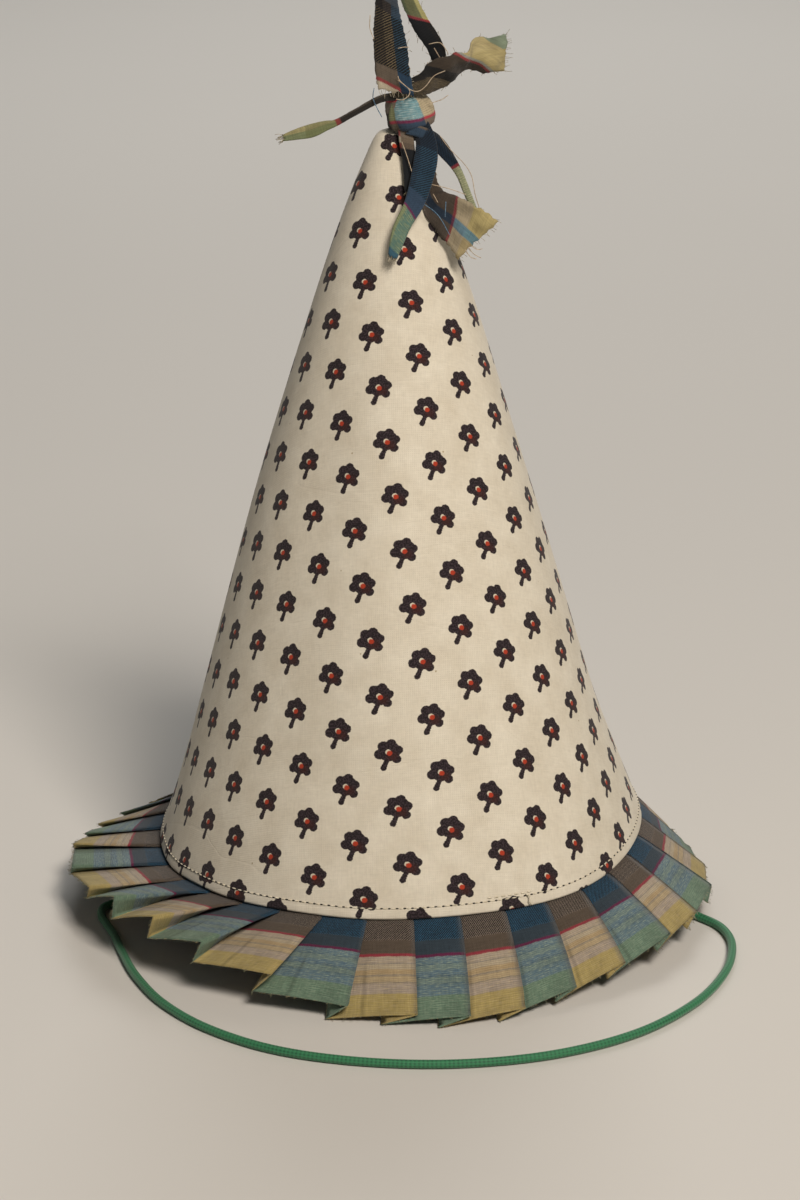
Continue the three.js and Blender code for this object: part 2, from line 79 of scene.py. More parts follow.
def add(tree, kind, inputs=None, **settings):
    """Adds a node, makes its settings, and fills its inputs with values or with other nodes' outputs."""
    new = tree.nodes.new(kind)
    for name, value in settings.items():
        setattr(new, name, value)
    for socket, value in (inputs or {}).items():
        if isinstance(value, bpy.types.NodeSocket):
            tree.links.new(value, new.inputs[socket])
        else:
            new.inputs[socket].default_value = value
    return new


def new_material(name, roughness, sheen=0.0):
    """A material with only its shader, and that shader's tree."""
    material = bpy.data.materials.new(name)
    material.use_nodes = True
    shader = material.node_tree.nodes["Principled BSDF"]
    shader.inputs["Roughness"].default_value = roughness
    shader.inputs["Sheen Weight"].default_value = sheen
    shader.inputs["Specular IOR Level"].default_value = 0.3
    return material, material.node_tree, shader


def mesh_object(name, points, faces, uvs=None, materials=()):
    """An object at the origin from points and faces, with smooth shading and any number of UV maps."""
    mesh = bpy.data.meshes.new(name)
    mesh.from_pydata(points, [], faces)
    for layer_name, corners in (uvs or {}).items():
        layer = mesh.uv_layers.new(name=layer_name)
        for loop, place in zip(layer.data, (place for face in corners for place in face)):
            loop.uv = place
    for material in materials:
        mesh.materials.append(material)
    mesh.shade_smooth()
    made = bpy.data.objects.new(name, mesh)
    bpy.context.scene.collection.objects.link(made)
    return made


def apply_modifier(piece, kind, **settings):
    """Adds a modifier and applies it, so that the mesh holds its result."""
    bpy.ops.object.select_all(action="DESELECT")
    bpy.context.view_layer.objects.active = piece
    piece.select_set(True)
    modifier = piece.modifiers.new(kind.lower(), kind)
    for name, value in settings.items():
        setattr(modifier, name, value)
    bpy.ops.object.modifier_apply(modifier=modifier.name)
    piece.select_set(False)


# The floor and the light
# A plain pale studio floor under soft light: a broad lamp high in front and to the right, a weak one on the
# left to open the shade, and one behind that parts the hat from the floor.
FLOOR_SIZE = 8.0
LAMPS = [
    {"name": "key", "place": (0.64, -1.345, 1.6), "size": 0.6, "watts": 39, "colour": "#fff5ea"},
    {"name": "fill", "place": (-1.3, -0.9, 0.8), "size": 1.2, "watts": 0.5, "colour": "#e9f0ff"},
    {"name": "rim", "place": (0.1, 1.5, 1.2), "size": 0.8, "watts": 11, "colour": "#ffffff"},
]
bpy.ops.mesh.primitive_plane_add(size=FLOOR_SIZE)
floor = bpy.context.active_object
floor.name = "studio_floor"
floor_finish, tree, shader = new_material("matt_painted_floor", 0.85)
floor_noise = add(tree, "ShaderNodeTexNoise", {"Scale": 9.0, "Detail": 3.0})
floor_ramp = add(tree, "ShaderNodeValToRGB", {"Fac": floor_noise.outputs["Fac"]})
floor_ramp.color_ramp.elements[0].color = linear("#cfccc6")
floor_ramp.color_ramp.elements[1].color = linear("#d8d5cf")
tree.links.new(floor_ramp.outputs["Color"], shader.inputs["Base Color"])
floor.data.materials.append(floor_finish)
floor.select_set(False)

for row in LAMPS:
    lamp_data = bpy.data.lights.new(row["name"], "AREA")
    lamp_data.size = row["size"]
    lamp_data.energy = row["watts"]
    lamp_data.color = linear(row["colour"])[:3]
    lamp = bpy.data.objects.new(row["name"], lamp_data)
    lamp.location = Vector(row["place"]) + AXIS
    lamp.rotation_euler = (CAMERA_AIM - lamp.location).to_track_quat("-Z", "Y").to_euler()
    bpy.context.scene.collection.objects.link(lamp)

world = bpy.data.worlds.new("studio")
world.use_nodes = True
world.node_tree.nodes["Background"].inputs["Color"].default_value = linear("#dcdad6")
world.node_tree.nodes["Background"].inputs["Strength"].default_value = 0.108
bpy.context.scene.world = world

# The chin cord
# A round elastic with a fine green braid round a rubber core, sewn inside the ruffle at both sides. It runs
# out under the ruffle's edge and lies on the floor in front of the hat in one loose loop.
CORD_DIAMETER = 0.0022
CORD_SIDES = 16
CORD_RING_STEP = 0.00045
BRAID_PITCH = 0.0021
BRAID_STRANDS = 8
BRAID_HEIGHT = 0.00006
CORD_ROUTE = [
    (-0.0572, -0.0102, 0.022), (-0.059, -0.0105, 0.0164), (-0.0606, -0.011, 0.0106), (-0.0646, -0.0118, 0.0052),
    (-0.0704, -0.0129, 0.002), (-0.0756, -0.0142, 0.00125), (-0.0794, -0.0178, 0.0012),
    (-0.0796, -0.0232, 0.0012), (-0.0778, -0.0288, 0.0012), (-0.0754, -0.0356, 0.0012),
    (-0.0726, -0.046, 0.0012), (-0.068, -0.061, 0.0012), (-0.06, -0.0775, 0.0012), (-0.0475, -0.0925, 0.0012),
    (-0.03, -0.1045, 0.0012), (-0.008, -0.111, 0.0012), (0.015, -0.112, 0.0012), (0.038, -0.107, 0.0012),
    (0.0585, -0.0955, 0.0012), (0.074, -0.0785, 0.0012), (0.083, -0.0605, 0.0012), (0.0862, -0.0445, 0.0012),
    (0.0846, -0.0332, 0.0012), (0.079, -0.0256, 0.00125), (0.0714, -0.0206, 0.0026),
    (0.065, -0.0176, 0.0072), (0.061, -0.0158, 0.0134), (0.0586, -0.0149, 0.02), (0.0566, -0.0144, 0.0264),
]


def curve_point(before, start, end, after, share):
    """A point on the smooth curve that passes through start and end."""
    return 0.5 * (
        2 * start
        + (end - before) * share
        + (2 * before - 5 * start + 4 * end - after) * share**2
        + (3 * start - before - 3 * end + after) * share**3
    )


def smooth_line(points, step):
    """A smooth curve through the points, with its own points about a step apart."""
    line = []
    for i in range(len(points) - 1):
        before = points[i - 1] if i > 0 else 2 * points[0] - points[1]
        after = points[i + 2] if i + 2 < len(points) else 2 * points[-1] - points[-2]
        count = max(1, round((points[i + 1] - points[i]).length / step))
        line.extend(curve_point(before, points[i], points[i + 1], after, k / count) for k in range(count))
    line.append(points[-1])
    return line


def line_lengths(line):
    """The length along the line up to each of its points."""
    lengths = [0.0]
    for here, there in zip(line, line[1:]):
        lengths.append(lengths[-1] + (there - here).length)
    return lengths


def tube(line, sides, radius_at):
    """Rings of points round a line, with the frame carried along it. radius_at(share round, length) is the radius."""
    lengths = line_lengths(line)
    side = None
    points = []
    for i, middle in enumerate(line):
        along = (line[min(i + 1, len(line) - 1)] - line[max(i - 1, 0)]).normalized()
        side = along.orthogonal() if side is None else side - along * side.dot(along)
        side.normalize()
        other = along.cross(side)
        for j in range(sides):
            turn = 2 * math.pi * j / sides
            radius = radius_at(j / sides, lengths[i])
            points.append(middle + radius * (math.cos(turn) * side + math.sin(turn) * other))
    faces = []
    corners = []
    for i in range(len(line) - 1):
        for j in range(sides):
            k = (j + 1) % sides
            faces.append((i * sides + j, i * sides + k, (i + 1) * sides + k, (i + 1) * sides + j))
            left, right = j / sides, (j + 1) / sides
            near, far = lengths[i], lengths[i + 1]
            corners.append(((left, near), (right, near), (right, far), (left, far)))
    last = (len(line) - 1) * sides
    faces.append(tuple(reversed(range(sides))))
    faces.append(tuple(range(last, last + sides)))
    corners.append(((0, 0),) * sides)
    corners.append(((0, lengths[-1]),) * sides)
    return points, faces, corners


# Braided polyester over rubber: matt, with a soft shine on each strand painted into the colour as a painted highlight,
# and dark lines of painted shade between the strands
braid_finish, tree, shader = new_material("braided_polyester", 0.62, 0.25)
braid_uv = add(tree, "ShaderNodeUVMap", uv_map="Cloth")
braid_parts = add(tree, "ShaderNodeSeparateXYZ", {0: braid_uv.outputs["UV"]})
braid_round = add(
    tree, "ShaderNodeMath", {0: braid_parts.outputs["X"], 1: 2 * math.pi * BRAID_STRANDS / 2}, operation="MULTIPLY"
)
braid_along = add(
    tree, "ShaderNodeMath", {0: braid_parts.outputs["Y"], 1: 2 * math.pi / BRAID_PITCH}, operation="MULTIPLY"
)
braid_waves = []
for way in ("ADD", "SUBTRACT"):
    lean = add(
        tree, "ShaderNodeMath", {0: braid_round.outputs[0], 1: braid_along.outputs[0]}, operation=way
    )
    braid_waves.append(add(tree, "ShaderNodeMath", {0: lean.outputs[0]}, operation="SINE").outputs[0])
braid_cross = add(tree, "ShaderNodeMath", {0: braid_waves[0], 1: braid_waves[1]}, operation="MULTIPLY")
braid_tone = add(tree, "ShaderNodeMapRange", {"Value": braid_cross.outputs[0], "From Min": -1.0, "From Max": 1.0})
cord_noise = add(tree, "ShaderNodeTexNoise", {"Vector": braid_uv.outputs["UV"], "Scale": 60.0, "Detail": 2.0})
braid_shade_and_mottle = add(
    tree,
    "ShaderNodeMath",
    {0: braid_tone.outputs[0], 1: 0.7, 2: cord_noise.outputs["Fac"]},
    operation="MULTIPLY_ADD",
)
# Painted light: the braid's pattern lightens the strands' crowns and darkens the lines between them, with a random
# mottle
braid_painted_light_ramp = add(tree, "ShaderNodeValToRGB", {"Fac": braid_shade_and_mottle.outputs[0]})
braid_painted_light_ramp.color_ramp.elements[0].position = 0.35
braid_painted_light_ramp.color_ramp.elements[0].color = linear("#174a30")
braid_painted_light_ramp.color_ramp.elements[1].position = 1.0
braid_painted_light_ramp.color_ramp.elements[1].color = linear("#357d54")
tree.links.new(braid_painted_light_ramp.outputs["Color"], shader.inputs["Base Color"])
braid_bump = add(
    tree, "ShaderNodeBump", {"Height": braid_tone.outputs[0], "Strength": 0.6, "Distance": BRAID_HEIGHT * 2}
)
tree.links.new(braid_bump.outputs["Normal"], shader.inputs["Normal"])


def braid_radius(turn, length):
    """The cord's radius where the strands of its braid cross over and under."""
    lean = 2 * math.pi * turn * BRAID_STRANDS / 2
    run = 2 * math.pi * length / BRAID_PITCH
    return CORD_DIAMETER / 2 + BRAID_HEIGHT / 2 * math.sin(lean + run) * math.sin(lean - run)


cord_line = smooth_line([Vector(p) + AXIS for p in CORD_ROUTE], CORD_RING_STEP)
cord_points, cord_faces, cord_corners = tube(cord_line, CORD_SIDES, braid_radius)
cord = mesh_object("chin_elastic_braid", cord_points, cord_faces, {"Cloth": cord_corners}, [braid_finish])
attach(cord, "root")
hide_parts("chin_elastic")

# The crown
# A cone of printed cotton sheeting, cut as part of a disc and closed by a seam behind. Its lower edge is
# turned up inside and topstitched, and it stands on the ruffle that is sewn into it.
CROWN_HEIGHT = 0.190
HEM_HEIGHT = 0.0185
HEM_SLOPE = 0.0405
TIP_LEAN = -0.0016
CLOTH = 0.0005
TURN_UP = 0.008
TURN_UP_INSET = 0.0007
CROWN_COLUMNS = 200
CROWN_ROW_STEP = 0.0019
SEAM_AZIMUTH = 90
CROWN_OUTLINE = [
    {"up": 0, "radius": 0.065},
    {"up": 0.008, "radius": 0.0619},
    {"up": 0.016, "radius": 0.0591},
    {"up": 0.033, "radius": 0.0536},
    {"up": 0.062, "radius": 0.0455},
    {"up": 0.089, "radius": 0.0379},
    {"up": 0.116, "radius": 0.0298},
    {"up": 0.137, "radius": 0.0233},
    {"up": 0.153, "radius": 0.0181},
    {"up": 0.165, "radius": 0.0138},
    {"up": 0.175, "radius": 0.0099},
    {"up": 0.182, "radius": 0.0069},
    {"up": 0.1865, "radius": 0.0049},
    {"up": 0.189, "radius": 0.0031},
    {"up": CROWN_HEIGHT, "radius": 0},
]
# Soft folds down the crown and waves of its hem: where each lies, how far it spreads to either side in
# degrees, and how far it stands proud, or how far the edge sinks and stands out
CROWN_FOLDS = [
    {"azimuth": 265, "spread": 14, "proud": 0.0007},
    {"azimuth": 292, "spread": 12, "proud": -0.0006},
    {"azimuth": 235, "spread": 16, "proud": -0.0007},
    {"azimuth": 330, "spread": 14, "proud": 0.0006},
    {"azimuth": 10, "spread": 26, "proud": -0.001},
    {"azimuth": 90, "spread": 14, "proud": 0.0008},
    {"azimuth": 178, "spread": 24, "proud": 0.0007},
]
WAVE_HEIGHT = 0.045
HEM_WAVES = [
    {"azimuth": 314, "spread": 24, "proud": 0.0016},
    {"azimuth": 245, "spread": 14, "proud": -0.00045},
    {"azimuth": 202, "spread": 9, "proud": 0.0005},
]


def smoothstep(value, low, high):
    """0 below low, 1 above high, and a soft step between them."""
    share = min(max((value - low) / (high - low), 0), 1)
    return share * share * (3 - 2 * share)


def swell(rows, azimuth):
    """How far the folds or waves in a table stand proud at an azimuth."""
    total = 0
    for row in rows:
        away = abs((azimuth - row["azimuth"] + 540) % 360 - 180)
        total += row["proud"] * math.exp(-((away / row["spread"]) ** 2))
    return total


def settle(azimuth, radius, up):
    """Where a point of the smooth upright cone lies on the folded, leaning crown with its sloping hem."""
    share = min(max(up / CROWN_HEIGHT, 0), 1)
    shown = smoothstep(share, 0.04, 0.22) * (1 - smoothstep(share, 0.5, 0.8))
    fold = swell(CROWN_FOLDS, azimuth) * shown
    droop = swell(HEM_WAVES, azimuth) * (1 - smoothstep(up, 0, WAVE_HEIGHT))
    out = radius + (fold + droop) * smoothstep(radius, 0.0005, 0.0015)
    x = out * math.cos(math.radians(azimuth))
    y = out * math.sin(math.radians(azimuth))
    height = HEM_HEIGHT + up - droop + HEM_SLOPE * x * (1 - share)
    return AXIS + Vector((x + TIP_LEAN * share, y, height))


# The crown's outer profile from the tip down to the hem, as radius and height, then round the turned edge
# and up inside to its raw edge
tip_to_hem = smooth_line([Vector((r["radius"], r["up"], 0)) for r in reversed(CROWN_OUTLINE)], CROWN_ROW_STEP)
crown_profile = []
for i, place in enumerate(tip_to_hem):
    way = (tip_to_hem[min(i + 1, len(tip_to_hem) - 1)] - tip_to_hem[max(i - 1, 0)]).normalized()
    inward = Vector((way.y, -way.x, 0))
    crown_profile.append(place + inward * CLOTH / 2 if i else Vector((0, place.y - CLOTH / 2, 0)))
hem_place = crown_profile[-1]
hem_way = (crown_profile[-1] - crown_profile[-2]).normalized()
hem_inward = Vector((hem_way.y, -hem_way.x, 0))
fold_radius = TURN_UP_INSET / 2
crown_profile[-1] = hem_place - hem_way * (fold_radius + CLOTH / 2)
fold_middle = crown_profile[-1] + hem_inward * fold_radius
for turn in (30, 60, 90, 120, 150, 180):
    swing = math.radians(turn)
    crown_profile.append(fold_middle + fold_radius * (math.sin(swing) * hem_way - math.cos(swing) * hem_inward))
for k in range(1, 6):
    crown_profile.append(fold_middle + fold_radius * hem_inward - hem_way * TURN_UP * k / 5)
crown_slant = line_lengths(crown_profile)

# The print's layout in the cone unrolled flat, centred on the tip: how far apart the motifs stand down a row
# and from row to row, how far each row starts below the last, and how the rows lean. The front is turned
# a little, and the cone is slightly squeezed from front to back, which draws its print round.
PRINT_STEP = 0.01426
PRINT_ROWS_APART = 0.01262
PRINT_DROP = 0.546
PRINT_LEAN = math.radians(8.32)
PRINT_ORIGIN = Vector((0.0041, 0.1382, 0))
PRINT_SPREAD = 1.184
PRINT_TURN = math.radians(2.57)
PRINT_SQUEEZE = {"hem": -0.079, "tip": 0.083}
# How far the cloth is drawn up in the middle of the front, and how far the print strays near the tip: left,
# up in front and up at the right side
PRINT_DRAWN = {"middle": 0.0025, "tip": -0.0019}
PRINT_STRAY = {"left": 0.0042, "front": -0.0014, "right": -0.0016}
PRINT_STRAY_DEPTH = {"across": 0.03, "down": 0.04}


def unrolled(azimuth, radius, up, slant):
    """Where a point of the crown lies on its cloth unrolled flat, right and down from the tip."""
    front = math.radians(azimuth - 270)
    squeeze = PRINT_SQUEEZE["hem"] + PRINT_SQUEEZE["tip"] * up / CROWN_HEIGHT
    turn = (front + squeeze * math.sin(2 * front) - PRINT_TURN) * PRINT_SPREAD * radius / max(slant, 1e-5)
    share = up / CROWN_HEIGHT
    drawn = PRINT_DRAWN["middle"] * math.cos(front) * math.sin(math.pi * share) + PRINT_DRAWN["tip"] * share
    left = PRINT_STRAY["left"] * math.exp(-slant / PRINT_STRAY_DEPTH["across"])
    raised = PRINT_STRAY["front"] * math.cos(front) + PRINT_STRAY["right"] * math.sin(front)
    drawn += raised * math.exp(-slant / PRINT_STRAY_DEPTH["down"])
    return slant * math.sin(turn) - left, slant * math.cos(turn) + drawn


crown_points = []
crown_cloth_uv = []
crown_hem_uv = []
hem_slant = crown_slant[len(tip_to_hem) - 1]
for profile, slant in zip(crown_profile, crown_slant):
    up = min(max(profile.y, 0), CROWN_HEIGHT)
    cloth_row = []
    hem_row = []
    for j in range(CROWN_COLUMNS + 1):
        azimuth = SEAM_AZIMUTH + 360 * j / CROWN_COLUMNS
        if j < CROWN_COLUMNS:
            crown_points.append(settle(azimuth, profile.x, profile.y))
        print_radius = min(profile.x, 0.065)
        cloth_row.append(unrolled(azimuth, print_radius, up, slant))
        hem_row.append((math.radians(azimuth - SEAM_AZIMUTH) * profile.x, hem_slant - slant))
    crown_cloth_uv.append(cloth_row)
    crown_hem_uv.append(hem_row)
crown_faces = []
cloth_corners = []
hem_corners = []
for i in range(len(crown_profile) - 1):
    for j in range(CROWN_COLUMNS):
        k = (j + 1) % CROWN_COLUMNS
        here = i * CROWN_COLUMNS
        there = here + CROWN_COLUMNS
        crown_faces.append((here + j, there + j, there + k, here + k))
        for table, corners in ((crown_cloth_uv, cloth_corners), (crown_hem_uv, hem_corners)):
            corners.append((table[i][j], table[i + 1][j], table[i + 1][j + 1], table[i][j + 1]))

# The print: a small solid flower of shallow round lobes on a stub of a stem, with a red eye and a pale gleam
# beside it. Each disc lies right and up from the flower's middle.
FLOWER_DISCS = [
    {"x": 0.0001, "y": 0.0004, "radius": 0.00252},
    {"x": -0.00205, "y": -0.0003, "radius": 0.00122},
    {"x": -0.0012, "y": 0.00168, "radius": 0.00124},
    {"x": 0.0006, "y": 0.0023, "radius": 0.0011},
    {"x": 0.00205, "y": 0.00055, "radius": 0.00112},
    {"x": 0.0017, "y": -0.00165, "radius": 0.00104},
    {"x": -0.00048, "y": -0.002, "radius": 0.0006},
    {"x": -0.00074, "y": -0.0026, "radius": 0.0006},
    {"x": -0.001, "y": -0.0032, "radius": 0.00066},
    {"x": -0.00122, "y": -0.00374, "radius": 0.00072},
]
FLOWER_EYE = {"x": 0.00014, "y": -0.0001, "radius": 0.00062}
FLOWER_GLEAM = {"x": -0.00012, "y": 0.0002, "radius": 0.00062}
FLOWER_BLUSH = {"x": 0.0008, "y": -0.0009, "radius": 0.0011}
PRINT_EDGE = 0.0001
# How far the print's edge wanders on the weave
PRINT_RAGGED = 0.0003
# The sheeting's threads are 0.3 mm apart. They are drawn at this spacing so that they show.
THREAD_STEP = 0.00055
PRINT_DOWN = Vector((math.sin(PRINT_LEAN), math.cos(PRINT_LEAN), 0)) * PRINT_STEP
PRINT_ACROSS = (
    Vector((math.cos(PRINT_LEAN), -math.sin(PRINT_LEAN), 0)) * PRINT_ROWS_APART + PRINT_DOWN * PRINT_DROP
)


def cotton_sheeting(name, print_strength):
    """Plain-woven cotton with a block print. Matt, softly mottled cream, the print sharp on the face and
    faint on the back."""
    material, tree, shader = new_material(name, 0.88, 0.12)
    uv = add(tree, "ShaderNodeUVMap", uv_map="Cloth").outputs["UV"]
    hem_uv = add(tree, "ShaderNodeUVMap", uv_map="Hem").outputs["UV"]
    wander = add(tree, "ShaderNodeTexNoise", {"Vector": uv, "Scale": 1900.0, "Detail": 1.0})
    centred = add(tree, "ShaderNodeVectorMath", {0: wander.outputs["Color"], 1: (0.5, 0.5, 0.5)}, operation="SUBTRACT")
    strayed = add(
        tree,
        "ShaderNodeVectorMath",
        {0: centred.outputs[0], 1: (PRINT_RAGGED,) * 3, 2: uv},
        operation="MULTIPLY_ADD",
    )
    from_origin = add(
        tree, "ShaderNodeVectorMath", {0: strayed.outputs[0], 1: tuple(PRINT_ORIGIN)}, operation="SUBTRACT"
    )
    cell = PRINT_DOWN.x * PRINT_ACROSS.y - PRINT_ACROSS.x * PRINT_DOWN.y
    part_down = (PRINT_ACROSS.y / cell, -PRINT_ACROSS.x / cell, 0)
    part_across = (-PRINT_DOWN.y / cell, PRINT_DOWN.x / cell, 0)
    steps = []
    for part, step in ((part_down, PRINT_DOWN), (part_across, PRINT_ACROSS)):
        count = add(tree, "ShaderNodeVectorMath", {0: from_origin.outputs[0], 1: part}, operation="DOT_PRODUCT")
        left_over = add(tree, "ShaderNodeMath", {0: count.outputs["Value"], 1: 0.5, 2: -0.5}, operation="WRAP")
        scaled = add(
            tree, "ShaderNodeVectorMath", {0: tuple(step), "Scale": left_over.outputs[0]}, operation="SCALE"
        )
        steps.append(scaled.outputs[0])
    within = add(tree, "ShaderNodeVectorMath", {0: steps[0], 1: steps[1]}, operation="ADD")
    upright = add(
        tree, "ShaderNodeVectorMath", {0: within.outputs[0], 1: (1 / PRINT_SPREAD, -1, 0)}, operation="MULTIPLY"
    )

    def disc(row, edge):
        """How much of a point lies in a disc of the flower."""
        away = add(
            tree, "ShaderNodeVectorMath", {0: upright.outputs[0], 1: (row["x"], row["y"], 0)}, operation="DISTANCE"
        )
        return add(
            tree,
            "ShaderNodeMapRange",
            {"Value": away.outputs["Value"], 1: row["radius"] + edge, 2: row["radius"] - edge},
            interpolation_type="SMOOTHSTEP",
        ).outputs[0]

    flower = disc(FLOWER_DISCS[0], PRINT_EDGE)
    for row in FLOWER_DISCS[1:]:
        flower = add(tree, "ShaderNodeMath", {0: flower, 1: disc(row, PRINT_EDGE)}, operation="MAXIMUM").outputs[0]

    mottle = add(tree, "ShaderNodeTexNoise", {"Vector": uv, "Scale": 90.0, "Detail": 5.0, "Roughness": 0.6})
    ground = add(tree, "ShaderNodeValToRGB", {"Fac": mottle.outputs["Fac"]})
    ground.color_ramp.elements[0].position = 0.3
    ground.color_ramp.elements[0].color = linear("#cfc6b3")
    ground.color_ramp.elements[1].position = 0.7
    ground.color_ramp.elements[1].color = linear("#ded7c6")
    speck = add(tree, "ShaderNodeTexVoronoi", {"Vector": uv, "Scale": 110.0, "Randomness": 1.0})
    speck_on = add(tree, "ShaderNodeMapRange", {"Value": speck.outputs["Distance"], 1: 0.035, 2: 0.02})
    speckled = add(
        tree,
        "ShaderNodeMix",
        {"Factor": speck_on.outputs[0], 6: ground.outputs["Color"], 7: linear("#a8997a")},
        data_type="RGBA",
    )

    ink_noise = add(tree, "ShaderNodeTexNoise", {"Vector": uv, "Scale": 2300.0, "Detail": 1.0})
    ink = add(tree, "ShaderNodeValToRGB", {"Fac": ink_noise.outputs["Fac"]})
    ink.color_ramp.elements[0].position = 0.42
    ink.color_ramp.elements[0].color = linear("#1a1215")
    ink.color_ramp.elements[1].position = 0.64
    ink.color_ramp.elements[1].color = linear("#3b3035")
    blush = add(tree, "ShaderNodeMath", {0: disc(FLOWER_BLUSH, 0.0009), 1: 0.55}, operation="MULTIPLY")
    blushed = add(
        tree,
        "ShaderNodeMix",
        {"Factor": blush.outputs[0], 6: ink.outputs["Color"], 7: linear("#431c14")},
        data_type="RGBA",
    )
    gleaming = add(
        tree,
        "ShaderNodeMix",
        {"Factor": disc(FLOWER_GLEAM, PRINT_EDGE), 6: blushed.outputs[2], 7: linear("#d2c8b2")},
        data_type="RGBA",
    )
    eyed = add(
        tree,
        "ShaderNodeMix",
        {"Factor": disc(FLOWER_EYE, PRINT_EDGE * 1.5), 6: gleaming.outputs[2], 7: linear("#a8371f")},
        data_type="RGBA",
    )
    strength = add(tree, "ShaderNodeMath", {0: flower, 1: print_strength}, operation="MULTIPLY")
    printed = add(
        tree,
        "ShaderNodeMix",
        {"Factor": strength.outputs[0], 6: speckled.outputs[2], 7: eyed.outputs[2]},
        data_type="RGBA",
    )
    # Slubs: each thread is a little lighter or darker along its own length.
    slub = None
    for stretch in ((350.0, 1800.0, 1.0), (1800.0, 350.0, 1.0)):
        stretched = add(tree, "ShaderNodeVectorMath", {0: uv, 1: stretch}, operation="MULTIPLY")
        threads = add(
            tree, "ShaderNodeTexNoise", {"Vector": stretched.outputs[0], "Scale": 1.0, "Detail": 2.0}
        ).outputs["Fac"]
        slub = threads if slub is None else add(
            tree, "ShaderNodeMath", {0: slub, 1: threads}, operation="ADD"
        ).outputs[0]
    tone = add(tree, "ShaderNodeMapRange", {"Value": slub, 1: 0.7, 2: 1.3, 3: 0.95, 4: 1.05})
    toned = add(
        tree, "ShaderNodeVectorMath", {0: printed.outputs[2], "Scale": tone.outputs[0]}, operation="SCALE"
    )
    tree.links.new(toned.outputs[0], shader.inputs["Base Color"])

    weave = None
    for direction in ("X", "Y"):
        threads = add(
            tree,
            "ShaderNodeTexWave",
            {"Vector": uv, "Scale": 2 * math.pi / THREAD_STEP / 20, "Distortion": 0.6, "Detail": 1.0},
            bands_direction=direction,
        ).outputs["Fac"]
        weave = threads if weave is None else add(
            tree, "ShaderNodeMath", {0: weave, 1: threads}, operation="MULTIPLY"
        ).outputs[0]
    fine = add(tree, "ShaderNodeBump", {"Height": weave, "Strength": 0.35, "Distance": 0.0001})
    crumple = add(tree, "ShaderNodeTexNoise", {"Vector": uv, "Scale": 45.0, "Detail": 3.0, "Roughness": 0.45})
    soft = add(
        tree,
        "ShaderNodeBump",
        {"Height": crumple.outputs["Fac"], "Strength": 0.35, "Distance": 0.0012, "Normal": fine.outputs["Normal"]},
    )
    # A few fine slanting creases where the cloth was once folded
    creased = add(tree, "ShaderNodeVectorMath", {0: uv, 1: (11.0, 38.0, 1.0)}, operation="MULTIPLY")
    veins = add(
        tree, "ShaderNodeTexNoise", {"Vector": creased.outputs[0], "Scale": 1.0, "Detail": 1.5, "Distortion": 0.8}
    )
    off_vein = add(tree, "ShaderNodeMath", {0: veins.outputs["Fac"], 1: 0.5}, operation="SUBTRACT")
    from_vein = add(tree, "ShaderNodeMath", {0: off_vein.outputs[0]}, operation="ABSOLUTE")
    crease = add(
        tree,
        "ShaderNodeMapRange",
        {"Value": from_vein.outputs[0], 1: 0.0, 2: 0.012},
        interpolation_type="SMOOTHSTEP",
    )
    folded = add(
        tree,
        "ShaderNodeBump",
        {"Height": crease.outputs[0], "Strength": 0.14, "Distance": 0.0003, "Normal": soft.outputs["Normal"]},
    )
    # The seam behind: the cloth dips where its two edges meet
    parts = add(tree, "ShaderNodeSeparateXYZ", {0: hem_uv})
    from_seam = add(tree, "ShaderNodeMath", {0: parts.outputs["X"]}, operation="ABSOLUTE")
    seam = add(
        tree,
        "ShaderNodeMapRange",
        {"Value": from_seam.outputs[0], 1: 0.0, 2: 0.0012},
        interpolation_type="SMOOTHSTEP",
    )
    sewn = add(
        tree,
        "ShaderNodeBump",
        {"Height": seam.outputs[0], "Strength": 0.9, "Distance": 0.0008, "Normal": folded.outputs["Normal"]},
    )
    tree.links.new(sewn.outputs["Normal"], shader.inputs["Normal"])
    return material


printed_face = cotton_sheeting("printed_cotton_sheeting", 1.0)
printed_back = cotton_sheeting("printed_cotton_reverse", 0.22)
crown = mesh_object(
    "crown_printed_cotton",
    crown_points,
    crown_faces,
    {"Cloth": cloth_corners, "Hem": hem_corners},
    [printed_face, printed_back],
)
apply_modifier(crown, "WELD", merge_threshold=0.00002)
apply_modifier(crown, "SOLIDIFY", thickness=CLOTH, offset=0, material_offset=1, material_offset_rim=1)
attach(crown, "root")
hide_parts("crown_cone")

# The hem's topstitching
# One row of machine stitches in cream cotton thread through the hem and the ruffle's head, a little above
# the folded edge. Where the thread sinks into the cloth between two stitches, the shade in the dip is painted
# as a small dark oval. At the right the row was sewn over twice and a tail hangs.
STITCH_HEIGHT = 0.0026
STITCH_PITCH = 0.002
STITCH_LENGTH = 0.0014
THREAD = 0.0004
# The size of each dark oval of painted shade between two stitches
DIP_SHADE_LENGTH = 0.00085
DIP_SHADE_WIDTH = 0.00044
TWICE_FROM = 290.6
TWICE_COUNT = 7
TWICE_RISE = 0.0008
TAIL = [
    {"azimuth": 299.3, "up": 0.0031, "proud": 0.0004},
    {"azimuth": 299.9, "up": 0.0022, "proud": 0.001},
    {"azimuth": 299.6, "up": 0.0011, "proud": 0.0009},
    {"azimuth": 300.3, "up": 0.0002, "proud": 0.0007},
]
hem_round = 2 * math.pi * CROWN_OUTLINE[0]["radius"]
stitch_count = round(hem_round / STITCH_PITCH)
stitch_turn = 360 / stitch_count
outline_slope = (CROWN_OUTLINE[0]["radius"] - CROWN_OUTLINE[1]["radius"]) / CROWN_OUTLINE[1]["up"]


